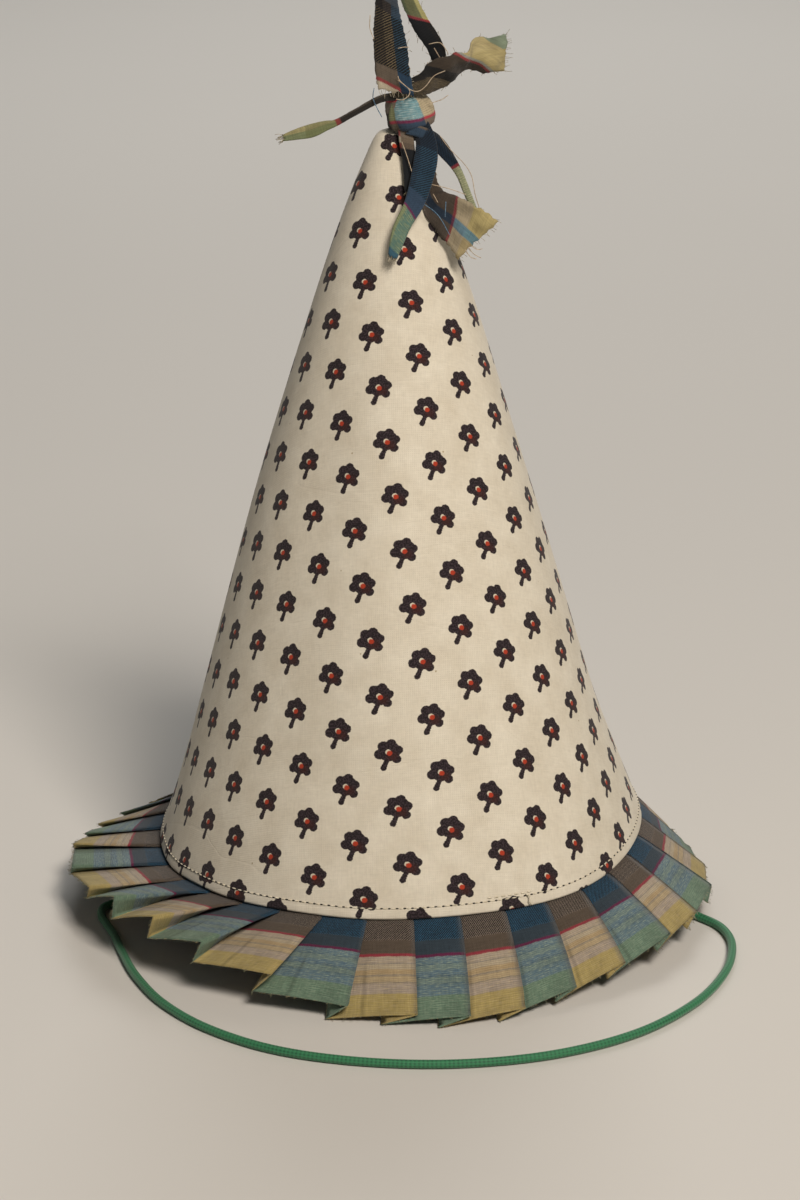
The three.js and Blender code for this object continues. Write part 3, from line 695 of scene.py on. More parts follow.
def hem_place(azimuth, up, proud):
    """A point on the crown's face near the hem, and the directions along it, up it and out of it."""
    place = settle(azimuth, CROWN_OUTLINE[0]["radius"] - up * outline_slope, up)
    along = (settle(azimuth + 0.5, CROWN_OUTLINE[0]["radius"] - up * outline_slope, up) - place).normalized()
    above = settle(azimuth, CROWN_OUTLINE[0]["radius"] - (up + 0.001) * outline_slope, up + 0.001)
    upward = (above - place).normalized()
    outward = along.cross(upward)
    return place + outward * proud, along, upward, outward


def stitch_row(name, azimuths, up, length, width, proud, finish):
    """One small oval for each stitch, or of painted shade for each dip between stitches, on the hem at the azimuths
    given, as one piece.
    """
    bpy.ops.object.select_all(action="DESELECT")
    bpy.ops.mesh.primitive_uv_sphere_add(segments=6, ring_count=5, radius=width / 2)
    master = bpy.context.active_object
    bpy.ops.object.mode_set(mode="EDIT")
    bpy.ops.mesh.select_all(action="SELECT")
    bpy.ops.transform.resize(value=(length / width, 1, 1))
    bpy.ops.object.mode_set(mode="OBJECT")
    row = bmesh.new()
    for azimuth in azimuths:
        place, along, upward, outward = hem_place(azimuth, up, proud)
        turned = Matrix((along, upward, outward)).transposed().to_4x4()
        copy = master.data.copy()
        copy.transform(Matrix.Translation(place) @ turned)
        row.from_mesh(copy)
        bpy.data.meshes.remove(copy)
    bpy.data.objects.remove(master)
    mesh = bpy.data.meshes.new(name)
    row.to_mesh(mesh)
    row.free()
    mesh.shade_smooth()
    mesh.materials.append(finish)
    made = bpy.data.objects.new(name, mesh)
    bpy.context.scene.collection.objects.link(made)
    return made


def yarn(name, dark, light):
    """Spun cotton yarn: matt and hairy, lighter and darker along its twist."""
    material, tree, shader = new_material(name, 0.85, 0.3)
    place = add(tree, "ShaderNodeTexCoord")
    twist = add(tree, "ShaderNodeTexNoise", {"Vector": place.outputs["Object"], "Scale": 1500.0, "Detail": 2.0})
    ramp = add(tree, "ShaderNodeValToRGB", {"Fac": twist.outputs["Fac"]})
    ramp.color_ramp.elements[0].position = 0.3
    ramp.color_ramp.elements[0].color = linear(dark)
    ramp.color_ramp.elements[1].position = 0.7
    ramp.color_ramp.elements[1].color = linear(light)
    tree.links.new(ramp.outputs["Color"], shader.inputs["Base Color"])
    return material


# Between two stitches the thread goes down through the cloth, and the shade in the dip there is painted as a dark oval.
sewing_thread = yarn("cotton_sewing_thread", "#c3b89d", "#ebe3cf")
painted_shade_finish = yarn("painted_shade_between_stitches", "#1d1a14", "#3a3326")
all_round = [stitch_turn * k for k in range(stitch_count)]
midway = [stitch_turn * (k + 0.5) for k in range(stitch_count)]
twice = [TWICE_FROM + stitch_turn * 0.93 * k for k in range(TWICE_COUNT)]
topstitching = stitch_row(
    "hem_topstitching", all_round, STITCH_HEIGHT, STITCH_LENGTH, THREAD, THREAD * 0.1, sewing_thread
)
# Painted shade: a dark oval midway between each two stitches, for the shade where the thread dips
painted_dip_shade = stitch_row("hem_stitch_dip_painted_shade", midway, STITCH_HEIGHT, DIP_SHADE_LENGTH, DIP_SHADE_WIDTH, 0, painted_shade_finish)
second_row = stitch_row(
    "hem_stitches_sewn_twice", twice, STITCH_HEIGHT + TWICE_RISE, STITCH_LENGTH, THREAD, THREAD * 0.3, sewing_thread
)
tail_line = smooth_line([hem_place(row["azimuth"], row["up"], row["proud"])[0] for row in TAIL], 0.0003)
tail_points, tail_faces, _ = tube(tail_line, 6, lambda turn, length: THREAD / 2)
stitch_tail = mesh_object("hem_thread_tail", tail_points, tail_faces, None, [sewing_thread])
hem_sewing = [topstitching, painted_dip_shade, second_row, stitch_tail]
for piece in hem_sewing:
    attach(piece, "root")

# The ruffle
# A strip of plaid cotton, cut straight and knife-pleated, with its head sewn up inside the hem. Each pleat
# takes one stripe of the plaid, blue or tan in turn, and the outer edge is cut and left raw.
PLEATS = 34
FIRST_RIDGE = 272.7
RUFFLE_CLOTH = 0.0004
PLEAT_CLOTH = 0.028
BAND_DEPTH = 0.028
HEADER_INSET = 0.0019
HEADER_TOP = 0.008
HEADER_FOOT = 0.001
TURN_INSIDE = 0.0015
TURN_DROP = 0.0009
FLARE_INSIDE = -0.0002
FLARE_DROP = 0.0018
RUFFLE_ROWS = 26
TOP_STEPS = 9
UNDER_STEPS = 4
HEM_LAP = 0.0065
HEM_LIFT = 0.0009
# The outer edge, by the azimuth at which a ridge leaves the hem: the height of the valleys' undersides above
# the floor, the radius, how far the ridge is swept round in degrees, how high it stands above the next
# valley, and how far it laps over it.
RUFFLE_EDGE = [
    {"azimuth": 8, "height": 0.001, "reach": 0.0808, "sweep": 3, "lift": 0.0027, "lap": 0.0055},
    {"azimuth": 24, "height": 0, "reach": 0.0808, "sweep": 2, "lift": 0.0027, "lap": 0.0055},
    {"azimuth": 45, "height": 0, "reach": 0.083, "sweep": 0, "lift": 0.003, "lap": 0.0055},
    {"azimuth": 75, "height": 0.002, "reach": 0.086, "sweep": 0, "lift": 0.0034, "lap": 0.005},
    {"azimuth": 100, "height": 0.003, "reach": 0.0875, "sweep": 0, "lift": 0.0036, "lap": 0.0045},
    {"azimuth": 125, "height": 0, "reach": 0.086, "sweep": 0, "lift": 0.0034, "lap": 0.005},
    {"azimuth": 145, "height": 0, "reach": 0.0865, "sweep": 0, "lift": 0.0032, "lap": 0.005},
    {"azimuth": 165, "height": 0.0035, "reach": 0.0875, "sweep": -3, "lift": 0.003, "lap": 0.0045},
    {"azimuth": 178, "height": 0.007, "reach": 0.087, "sweep": -5, "lift": 0.003, "lap": 0.0045},
    {"azimuth": 188, "height": 0.0095, "reach": 0.0884, "sweep": -6.5, "lift": 0.003, "lap": 0.004},
    {"azimuth": 198, "height": 0.01, "reach": 0.0896, "sweep": -6, "lift": 0.0032, "lap": 0.0035},
    {"azimuth": 209, "height": 0.011, "reach": 0.0895, "sweep": -4.5, "lift": 0.004, "lap": 0.0025},
    {"azimuth": 220, "height": 0.011, "reach": 0.089, "sweep": -6, "lift": 0.007, "lap": 0.0015},
    {"azimuth": 230, "height": 0.011, "reach": 0.0886, "sweep": -5.8, "lift": 0.007, "lap": 0.0025},
    {"azimuth": 241, "height": 0.0092, "reach": 0.0886, "sweep": -5.6, "lift": 0.0064, "lap": 0.003},
    {"azimuth": 251.5, "height": 0.0048, "reach": 0.0875, "sweep": -3.4, "lift": 0.0056, "lap": 0.0055},
    {"azimuth": 262, "height": 0, "reach": 0.0874, "sweep": -1.1, "lift": 0.004, "lap": 0.0055},
    {"azimuth": 272.7, "height": 0, "reach": 0.0887, "sweep": -0.2, "lift": 0.0026, "lap": 0.009},
    {"azimuth": 283.3, "height": 0, "reach": 0.0909, "sweep": -2.4, "lift": 0.0025, "lap": 0.008},
    {"azimuth": 294, "height": 0, "reach": 0.0903, "sweep": -3.8, "lift": 0.0025, "lap": 0.007},
    {"azimuth": 304.5, "height": 0.0012, "reach": 0.0876, "sweep": -4.2, "lift": 0.0027, "lap": 0.006},
    {"azimuth": 315, "height": 0.003, "reach": 0.0866, "sweep": -3.8, "lift": 0.0027, "lap": 0.006},
    {"azimuth": 325.7, "height": 0.0052, "reach": 0.087, "sweep": -2.6, "lift": 0.0027, "lap": 0.006},
    {"azimuth": 336, "height": 0.005, "reach": 0.086, "sweep": -2.2, "lift": 0.0027, "lap": 0.006},
    {"azimuth": 347, "height": 0.004, "reach": 0.0848, "sweep": 0.8, "lift": 0.0027, "lap": 0.006},
    {"azimuth": 357.5, "height": 0.0025, "reach": 0.0823, "sweep": 2, "lift": 0.0027, "lap": 0.0055},
]


def between(rows, key, at, column):
    """The value of one column of a table at a place between its rows."""
    for before, after in zip(rows, rows[1:]):
        if at <= after[key]:
            share = max((at - before[key]) / (after[key] - before[key]), 0)
            return before[column] + (after[column] - before[column]) * share
    return rows[-1][column]


def edge_at(azimuth):
    """The ruffle's edge at an azimuth, from the table, which goes round."""
    first = dict(RUFFLE_EDGE[0], azimuth=RUFFLE_EDGE[0]["azimuth"] + 360)
    last = dict(RUFFLE_EDGE[-1], azimuth=RUFFLE_EDGE[-1]["azimuth"] - 360)
    rows = [last, *RUFFLE_EDGE, first]
    return {c: between(rows, "azimuth", azimuth % 360, c) for c in ("height", "reach", "sweep", "lift", "lap")}


def mix(start, end, share):
    """The value that lies a share of the way from start to end."""
    return start + (end - start) * share


def pleat_line(index):
    """The line of one ridge and the valley under it, from the head's top to the outer edge."""
    azimuth = (FIRST_RIDGE + index * 360 / PLEATS) % 360
    edge = edge_at(azimuth)
    droop = swell(HEM_WAVES, azimuth)
    hem = settle(azimuth, CROWN_OUTLINE[0]["radius"], 0) - AXIS
    hem_radius = CROWN_OUTLINE[0]["radius"] + droop
    rows = []
    for up in (HEADER_TOP, HEADER_TOP / 2, HEADER_FOOT):
        place = settle(azimuth, between(CROWN_OUTLINE, "up", up, "radius") - HEADER_INSET, up) - AXIS
        radius = math.hypot(place.x, place.y)
        rows.append({"radius": radius, "height": place.z, "azimuth": azimuth, "lap": HEM_LAP, "lift": 0.0004})
    rows.append(
        {
            "radius": hem_radius - TURN_INSIDE,
            "height": hem.z - TURN_DROP,
            "azimuth": azimuth,
            "lap": HEM_LAP,
            "lift": 0.0006,
        }
    )
    start = hem.z - FLARE_DROP
    end = edge["height"] + RUFFLE_CLOTH / 2 + 0.0003
    for k in range(RUFFLE_ROWS + 1):
        out = k / RUFFLE_ROWS
        height = mix(start, end, out)
        laid = min(height, mix(end + edge["height"], end, (out - 0.9) / 0.1))
        height = mix(height, laid, smoothstep(out, 0.84, 0.97))
        rows.append(
            {
                "radius": mix(hem_radius - FLARE_INSIDE, edge["reach"], out),
                "height": height,
                "azimuth": azimuth + edge["sweep"] * out,
                "lap": mix(HEM_LAP, edge["lap"], out**1.5),
                "lift": mix(HEM_LIFT, edge["lift"], out**0.8),
            }
        )
    return rows


def fold_place(row, is_ridge):
    """Where a ridge or the valley under it lies in one row."""
    turn = math.radians(row["azimuth"]) - (0 if is_ridge else row["lap"] / row["radius"])
    height = row["height"] + (row["lift"] if is_ridge else 0)
    return AXIS + Vector((row["radius"] * math.cos(turn), row["radius"] * math.sin(turn), height))


pleat_lines = [pleat_line(k) for k in range(PLEATS)]
ruffle_height = len(pleat_lines[0])
ruffle_columns = []
for k in range(PLEATS):
    line = pleat_lines[k]
    next_line = pleat_lines[(k + 1) % PLEATS]
    columns = [[] for _ in range(TOP_STEPS + UNDER_STEPS)]
    run = [0.0]
    for row in range(ruffle_height):
        valley = fold_place(line[row], False)
        ridge = fold_place(next_line[row], True)
        next_valley = fold_place(next_line[row], False)
        top_length = (ridge - valley).length
        under_length = (next_valley - ridge).length
        scale = PLEAT_CLOTH / (top_length + under_length)
        if row:
            before = columns[0][-1][0]
            run.append(run[-1] + (valley - before).length)
        for step in range(TOP_STEPS):
            share = step / TOP_STEPS
            # The leaf is a little crowned across, and its creases are rounded by the steps beside them.
            crown_up = Vector((0, 0, 0.0003 * math.sin(math.pi * share)))
            along = (k % 2) * PLEAT_CLOTH + top_length * share * scale
            columns[step].append((valley.lerp(ridge, share) + crown_up, along))
        for step in range(UNDER_STEPS):
            share = step / UNDER_STEPS
            along = (k % 2) * PLEAT_CLOTH + (top_length + under_length * share) * scale
            columns[TOP_STEPS + step].append((ridge.lerp(next_valley, share), along))
    turn_row = 3
    for column in columns:
        ruffle_columns.append([(p, u, (run[r] - run[turn_row])) for r, (p, u) in enumerate(column)])
    for column in ruffle_columns[-len(columns) :]:
        full = column[-1][2]
        for r, (p, u, v) in enumerate(column):
            column[r] = (p, u, v * BAND_DEPTH / full)

ruffle_points = [entry[0] for column in ruffle_columns for entry in column]
ruffle_faces = []
ruffle_corners = []
for c, column in enumerate(ruffle_columns):
    following = (c + 1) % len(ruffle_columns)
    for r in range(ruffle_height - 1):
        here = c * ruffle_height + r
        there = following * ruffle_height + r
        ruffle_faces.append((here, here + 1, there + 1, there))
        beside = ruffle_columns[following]
        # The next pleat's first column is this one's end, where the plaid's stripe ends too.
        stripe = column[r][1] // PLEAT_CLOTH if following % (TOP_STEPS + UNDER_STEPS) == 0 else None
        near_u = beside[r][1] if stripe is None else (stripe + 1) * PLEAT_CLOTH
        far_u = beside[r + 1][1] if stripe is None else (stripe + 1) * PLEAT_CLOTH
        ruffle_corners.append(
            (
                (column[r][1], column[r][2]),
                (column[r + 1][1], column[r + 1][2]),
                (far_u, beside[r + 1][2]),
                (near_u, beside[r][2]),
            )
        )

# The plaid's bands across the ruffle, from the hem outwards: where each ends, its colour on a blue stripe and
# on a tan one, and how much of the black twill shows in it.
RUFFLE_STRIPES = [
    {"to": PLEAT_CLOTH, "column": "blue", "fleck": "#94a08a"},
    {"to": 2 * PLEAT_CLOTH, "column": "tan", "fleck": "#ab9b7a"},
]
RUFFLE_BANDS = [
    {"to": 0.0072, "blue": "#2e6587", "tan": "#928273", "twill": 1},
    {"to": 0.0112, "blue": "#2f3c46", "tan": "#574b3f", "twill": 0.2},
    {"to": 0.012, "blue": "#5a1c3e", "tan": "#86303a", "twill": 0},
    {"to": 0.0136, "blue": "#586d76", "tan": "#9d9080", "twill": 0, "fleck": 1},
    {"to": 0.0142, "blue": "#4f636c", "tan": "#887f74", "twill": 0, "fleck": 1},
    {"to": 0.0156, "blue": "#637573", "tan": "#a2957f", "twill": 0, "fleck": 1},
    {"to": 0.017, "blue": "#526875", "tan": "#9e8967", "twill": 0, "fleck": 1},
    {"to": 0.0175, "blue": "#4a5e6a", "tan": "#82786a", "twill": 0, "fleck": 1},
    {"to": 0.019, "blue": "#60726f", "tan": "#9f8d6e", "twill": 0, "fleck": 1},
    {"to": 0.0195, "blue": "#4e626a", "tan": "#857969", "twill": 0, "fleck": 1},
    {"to": 0.0223, "blue": "#556b75", "tan": "#998c7e", "twill": 0, "fleck": 1},
    {"to": 0.04, "blue": "#5f7663", "tan": "#a08f5a", "twill": 0, "fleck": 0.7},
]
# Real threads here are 0.12 mm apart. They are drawn at this spacing, so that the twill's lines, which are
# four threads apart, show.
PLAID_THREAD = 0.00016
# The thicker yarns of the light bands lie this far apart.
RIB_PITCH = 0.00052
# Where the next pleat's fold lies under each stripe, a soft dark line of painted shade is drawn, past the line band.
FOLD_SHADE_AT = 0.0081
FOLD_SHADE_PAST = 0.0118
FOLD_SHADE_WIDTH = 0.0009


def plaid_cotton(name, stripes, bands, repeat=0.0, painted_fold_shade=False):
    """Yarn-dyed plaid cotton, woven partly in twill. Matt, soft and heathered, its colours flecked by the
    crossing threads and soft where they meet. The stripes lie side by side, and go round after repeat, or
    have their zero in the cloth's middle where repeat is 0."""
    material, tree, shader = new_material(name, 0.92, 0.12)
    uv = add(tree, "ShaderNodeUVMap", uv_map="Cloth").outputs["UV"]
    parts = add(tree, "ShaderNodeSeparateXYZ", {0: uv})
    along, out = parts.outputs["X"], parts.outputs["Y"]
    counts = []
    for way in (along, out):
        counted = add(tree, "ShaderNodeMath", {0: way, 1: PLAID_THREAD}, operation="DIVIDE")
        counts.append(add(tree, "ShaderNodeMath", {0: counted.outputs[0]}, operation="FLOOR").outputs[0])
    crossing = add(tree, "ShaderNodeMath", {0: counts[0], 1: counts[1]}, operation="ADD")
    plain_wrap = add(tree, "ShaderNodeMath", {0: crossing.outputs[0], 1: 2.0, 2: 0.0}, operation="WRAP")
    plain = add(tree, "ShaderNodeMath", {0: plain_wrap.outputs[0], 1: 0.5}, operation="LESS_THAN")

    # Each thread of one set shows between two of the other, so a band's edge is a soft row of teeth.
    wander = add(tree, "ShaderNodeTexNoise", {"Vector": uv, "Scale": 420.0, "Detail": 2.0})
    strayed = add(
        tree, "ShaderNodeMath", {0: wander.outputs["Fac"], 1: 0.0005, 2: out}, operation="MULTIPLY_ADD"
    )
    toothed = add(
        tree, "ShaderNodeMath", {0: plain.outputs[0], 1: 0.00022, 2: strayed.outputs[0]}, operation="MULTIPLY_ADD"
    )
    share = add(tree, "ShaderNodeMath", {0: toothed.outputs[0], 1: bands[-1]["to"]}, operation="DIVIDE")
    ramps = {}
    for column in dict.fromkeys(["twill", "fleck", *(row["column"] for row in stripes)]):
        ramp = add(tree, "ShaderNodeValToRGB", {"Fac": share.outputs[0]})
        ramp.color_ramp.interpolation = "CONSTANT"
        ramp.color_ramp.elements.remove(ramp.color_ramp.elements[1])
        begin = 0
        for row in bands:
            element = ramp.color_ramp.elements[0] if begin == 0 else ramp.color_ramp.elements.new(begin)
            value = row.get(column, 0)
            element.color = linear(value) if isinstance(value, str) else (value, value, value, 1)
            begin = row["to"] / bands[-1]["to"]
        ramps[column] = ramp.outputs["Color"]
    around = along
    if repeat:
        around = add(tree, "ShaderNodeMath", {0: along, 1: repeat, 2: 0.0}, operation="WRAP").outputs[0]
    streaked = add(tree, "ShaderNodeVectorMath", {0: uv, 1: (640.0, 4000.0, 1.0)}, operation="MULTIPLY")
    streak = add(
        tree, "ShaderNodeTexNoise", {"Vector": streaked.outputs[0], "Scale": 1.0, "Detail": 1.5, "Roughness": 0.6}
    )
    flecked = add(tree, "ShaderNodeMapRange", {"Value": streak.outputs["Fac"], 1: 0.46, 2: 0.72, 3: 0.0, 4: 0.6})
    fleck = add(tree, "ShaderNodeMath", {0: flecked.outputs[0], 1: ramps["fleck"]}, operation="MULTIPLY")
    toothed_along = add(
        tree, "ShaderNodeMath", {0: plain.outputs[0], 1: 0.00016, 2: around}, operation="MULTIPLY_ADD"
    )
    colour = None
    for row in reversed(stripes):
        own = ramps[row["column"]]
        if "fleck" in row:
            own = add(
                tree,
                "ShaderNodeMix",
                {"Factor": fleck.outputs[0], 6: own, 7: linear(row["fleck"])},
                data_type="RGBA",
            ).outputs[2]
        if colour is None:
            colour = own
            continue
        within = add(tree, "ShaderNodeMath", {0: toothed_along.outputs[0], 1: row["to"]}, operation="LESS_THAN")
        colour = add(
            tree, "ShaderNodeMix", {"Factor": within.outputs[0], 6: colour, 7: own}, data_type="RGBA"
        ).outputs[2]

    # The twill's lines are broken and uneven, as its yarns are.
    twill_wrap = add(tree, "ShaderNodeMath", {0: crossing.outputs[0], 1: 4.0, 2: 0.0}, operation="WRAP")
    twill_line = add(tree, "ShaderNodeMath", {0: twill_wrap.outputs[0], 1: 2.5}, operation="LESS_THAN")
    broken = add(tree, "ShaderNodeTexNoise", {"Vector": uv, "Scale": 2600.0, "Detail": 0.0})
    whole = add(tree, "ShaderNodeMapRange", {"Value": broken.outputs["Fac"], 1: 0.22, 2: 0.46, 3: 0.7, 4: 1.0})
    twill_whole = add(
        tree, "ShaderNodeMath", {0: twill_line.outputs[0], 1: whole.outputs[0]}, operation="MULTIPLY"
    )
    dark = add(tree, "ShaderNodeMath", {0: twill_whole.outputs[0], 1: ramps["twill"]}, operation="MULTIPLY")
    darkened = add(
        tree,
        "ShaderNodeMix",
        {"Factor": dark.outputs[0], 6: colour, 7: linear("#0f1114")},
        data_type="RGBA",
    )
    # Slubs: each thread is a little lighter or darker along its own length.
    slub = None
    for stretch in ((260.0, 2600.0, 1.0), (2600.0, 260.0, 1.0)):
        stretched = add(tree, "ShaderNodeVectorMath", {0: uv, 1: stretch}, operation="MULTIPLY")
        threads = add(
            tree, "ShaderNodeTexNoise", {"Vector": stretched.outputs[0], "Scale": 1.0, "Detail": 2.0}
        ).outputs["Fac"]
        slub = threads if slub is None else add(
            tree, "ShaderNodeMath", {0: slub, 1: threads}, operation="ADD"
        ).outputs[0]
    wear = add(tree, "ShaderNodeTexNoise", {"Vector": uv, "Scale": 130.0, "Detail": 3.0})
    worn = add(tree, "ShaderNodeMath", {0: wear.outputs["Fac"], 1: 0.9, 2: slub}, operation="MULTIPLY_ADD")
    level = add(
        tree, "ShaderNodeMath", {0: plain.outputs[0], 1: 0.22, 2: worn.outputs[0]}, operation="MULTIPLY_ADD"
    )
    tone = add(tree, "ShaderNodeMapRange", {"Value": level.outputs[0], 1: 1.0, 2: 2.2, 3: 0.66, 4: 1.36})
    rib_turn = add(tree, "ShaderNodeMath", {0: strayed.outputs[0], 1: 2 * math.pi / RIB_PITCH}, operation="MULTIPLY")
    rib = add(tree, "ShaderNodeMath", {0: rib_turn.outputs[0]}, operation="SINE")
    ribbed = add(tree, "ShaderNodeMath", {0: rib.outputs[0], 1: ramps["fleck"]}, operation="MULTIPLY")
    rib_tone = add(tree, "ShaderNodeMath", {0: ribbed.outputs[0], 1: 0.13, 2: 1.0}, operation="MULTIPLY_ADD")
    tone_value = add(
        tree, "ShaderNodeMath", {0: tone.outputs[0], 1: rib_tone.outputs[0]}, operation="MULTIPLY"
    ).outputs[0]
    # Painted shade: the colour is darkened in a soft line where the next pleat's fold lies under the cloth
    if painted_fold_shade:
        within_pleat = add(tree, "ShaderNodeMath", {0: along, 1: PLEAT_CLOTH, 2: 0.0}, operation="WRAP")
        aside = add(tree, "ShaderNodeMath", {0: within_pleat.outputs[0], 1: FOLD_SHADE_AT}, operation="SUBTRACT")
        from_fold = add(tree, "ShaderNodeMath", {0: aside.outputs[0]}, operation="ABSOLUTE")
        past = add(
            tree, "ShaderNodeMapRange", {"Value": out, 1: FOLD_SHADE_PAST, 2: FOLD_SHADE_PAST + 0.005, 3: 0, 4: 0.3}
        )
        near = add(
            tree,
            "ShaderNodeMapRange",
            {"Value": from_fold.outputs[0], 1: FOLD_SHADE_WIDTH, 2: 0.0},
            interpolation_type="SMOOTHSTEP",
        )
        shade = add(tree, "ShaderNodeMath", {0: near.outputs[0], 1: past.outputs[0]}, operation="MULTIPLY")
        kept = add(tree, "ShaderNodeMath", {0: 1.0, 1: shade.outputs[0]}, operation="SUBTRACT")
        tone_value = add(
            tree, "ShaderNodeMath", {0: tone_value, 1: kept.outputs[0]}, operation="MULTIPLY"
        ).outputs[0]
    toned = add(tree, "ShaderNodeVectorMath", {0: darkened.outputs[2], "Scale": tone_value}, operation="SCALE")
    tree.links.new(toned.outputs[0], shader.inputs["Base Color"])
    height = add(tree, "ShaderNodeMath", {0: plain.outputs[0], 1: 0.5, 2: slub}, operation="MULTIPLY_ADD")
    bump = add(tree, "ShaderNodeBump", {"Height": height.outputs[0], "Strength": 0.5, "Distance": 0.00012})
    tree.links.new(bump.outputs["Normal"], shader.inputs["Normal"])
    return material


ruffle_finish = plaid_cotton(
    "yarn_dyed_plaid_cotton", RUFFLE_STRIPES, RUFFLE_BANDS, 2 * PLEAT_CLOTH, painted_fold_shade=True
)
ruffle = mesh_object("ruffle_knife_pleats", ruffle_points, ruffle_faces, {"Cloth": ruffle_corners}, [ruffle_finish])
apply_modifier(ruffle, "SOLIDIFY", thickness=RUFFLE_CLOTH, offset=0)
def thread_piece(name, lines, diameter, sides, finish):
    """All the threads of one kind as one piece."""
    points = []
    faces = []
    for line in lines:
        ring_points, ring_faces, _ = tube(line, sides, lambda turn, length: diameter / 2)
        faces.extend(tuple(corner + len(points) for corner in face) for face in ring_faces)
        points.extend(ring_points)
    return mesh_object(name, points, faces, None, [finish])


# The cut edge is frayed: short ends of yarn stand out from it, here two or three to each small face.
EDGE_THREAD = 0.00014
EDGE_THREAD_SIDES = 3
edge_dice = random.Random(3)
edge_threads = []
for c, column in enumerate(ruffle_columns):
    beside = ruffle_columns[(c + 1) % len(ruffle_columns)]
    for _ in range(3):
        share = edge_dice.random()
        base = column[-1][0].lerp(beside[-1][0], share)
        outward = (base - column[-2][0].lerp(beside[-2][0], share)).normalized()
        sideways = (beside[-1][0] - column[-1][0]).normalized() * edge_dice.uniform(-0.6, 0.6)
        sag = Vector((0, 0, edge_dice.uniform(-0.3, 0.3)))
        end = base + (outward + sideways + sag).normalized() * (0.0002 + 0.0009 * edge_dice.random() ** 2)
        end.z = max(end.z, EDGE_THREAD)
        edge_threads.append([base - outward * 0.0003, base, end])
ruffle_fray = thread_piece(
    "ruffle_frayed_edge", edge_threads, EDGE_THREAD, EDGE_THREAD_SIDES, yarn("frayed_ruffle_yarn", "#5f6a5c", "#a2966f")
)
for piece in (ruffle, ruffle_fray):
    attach(piece, "root")
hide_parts("ruffle")

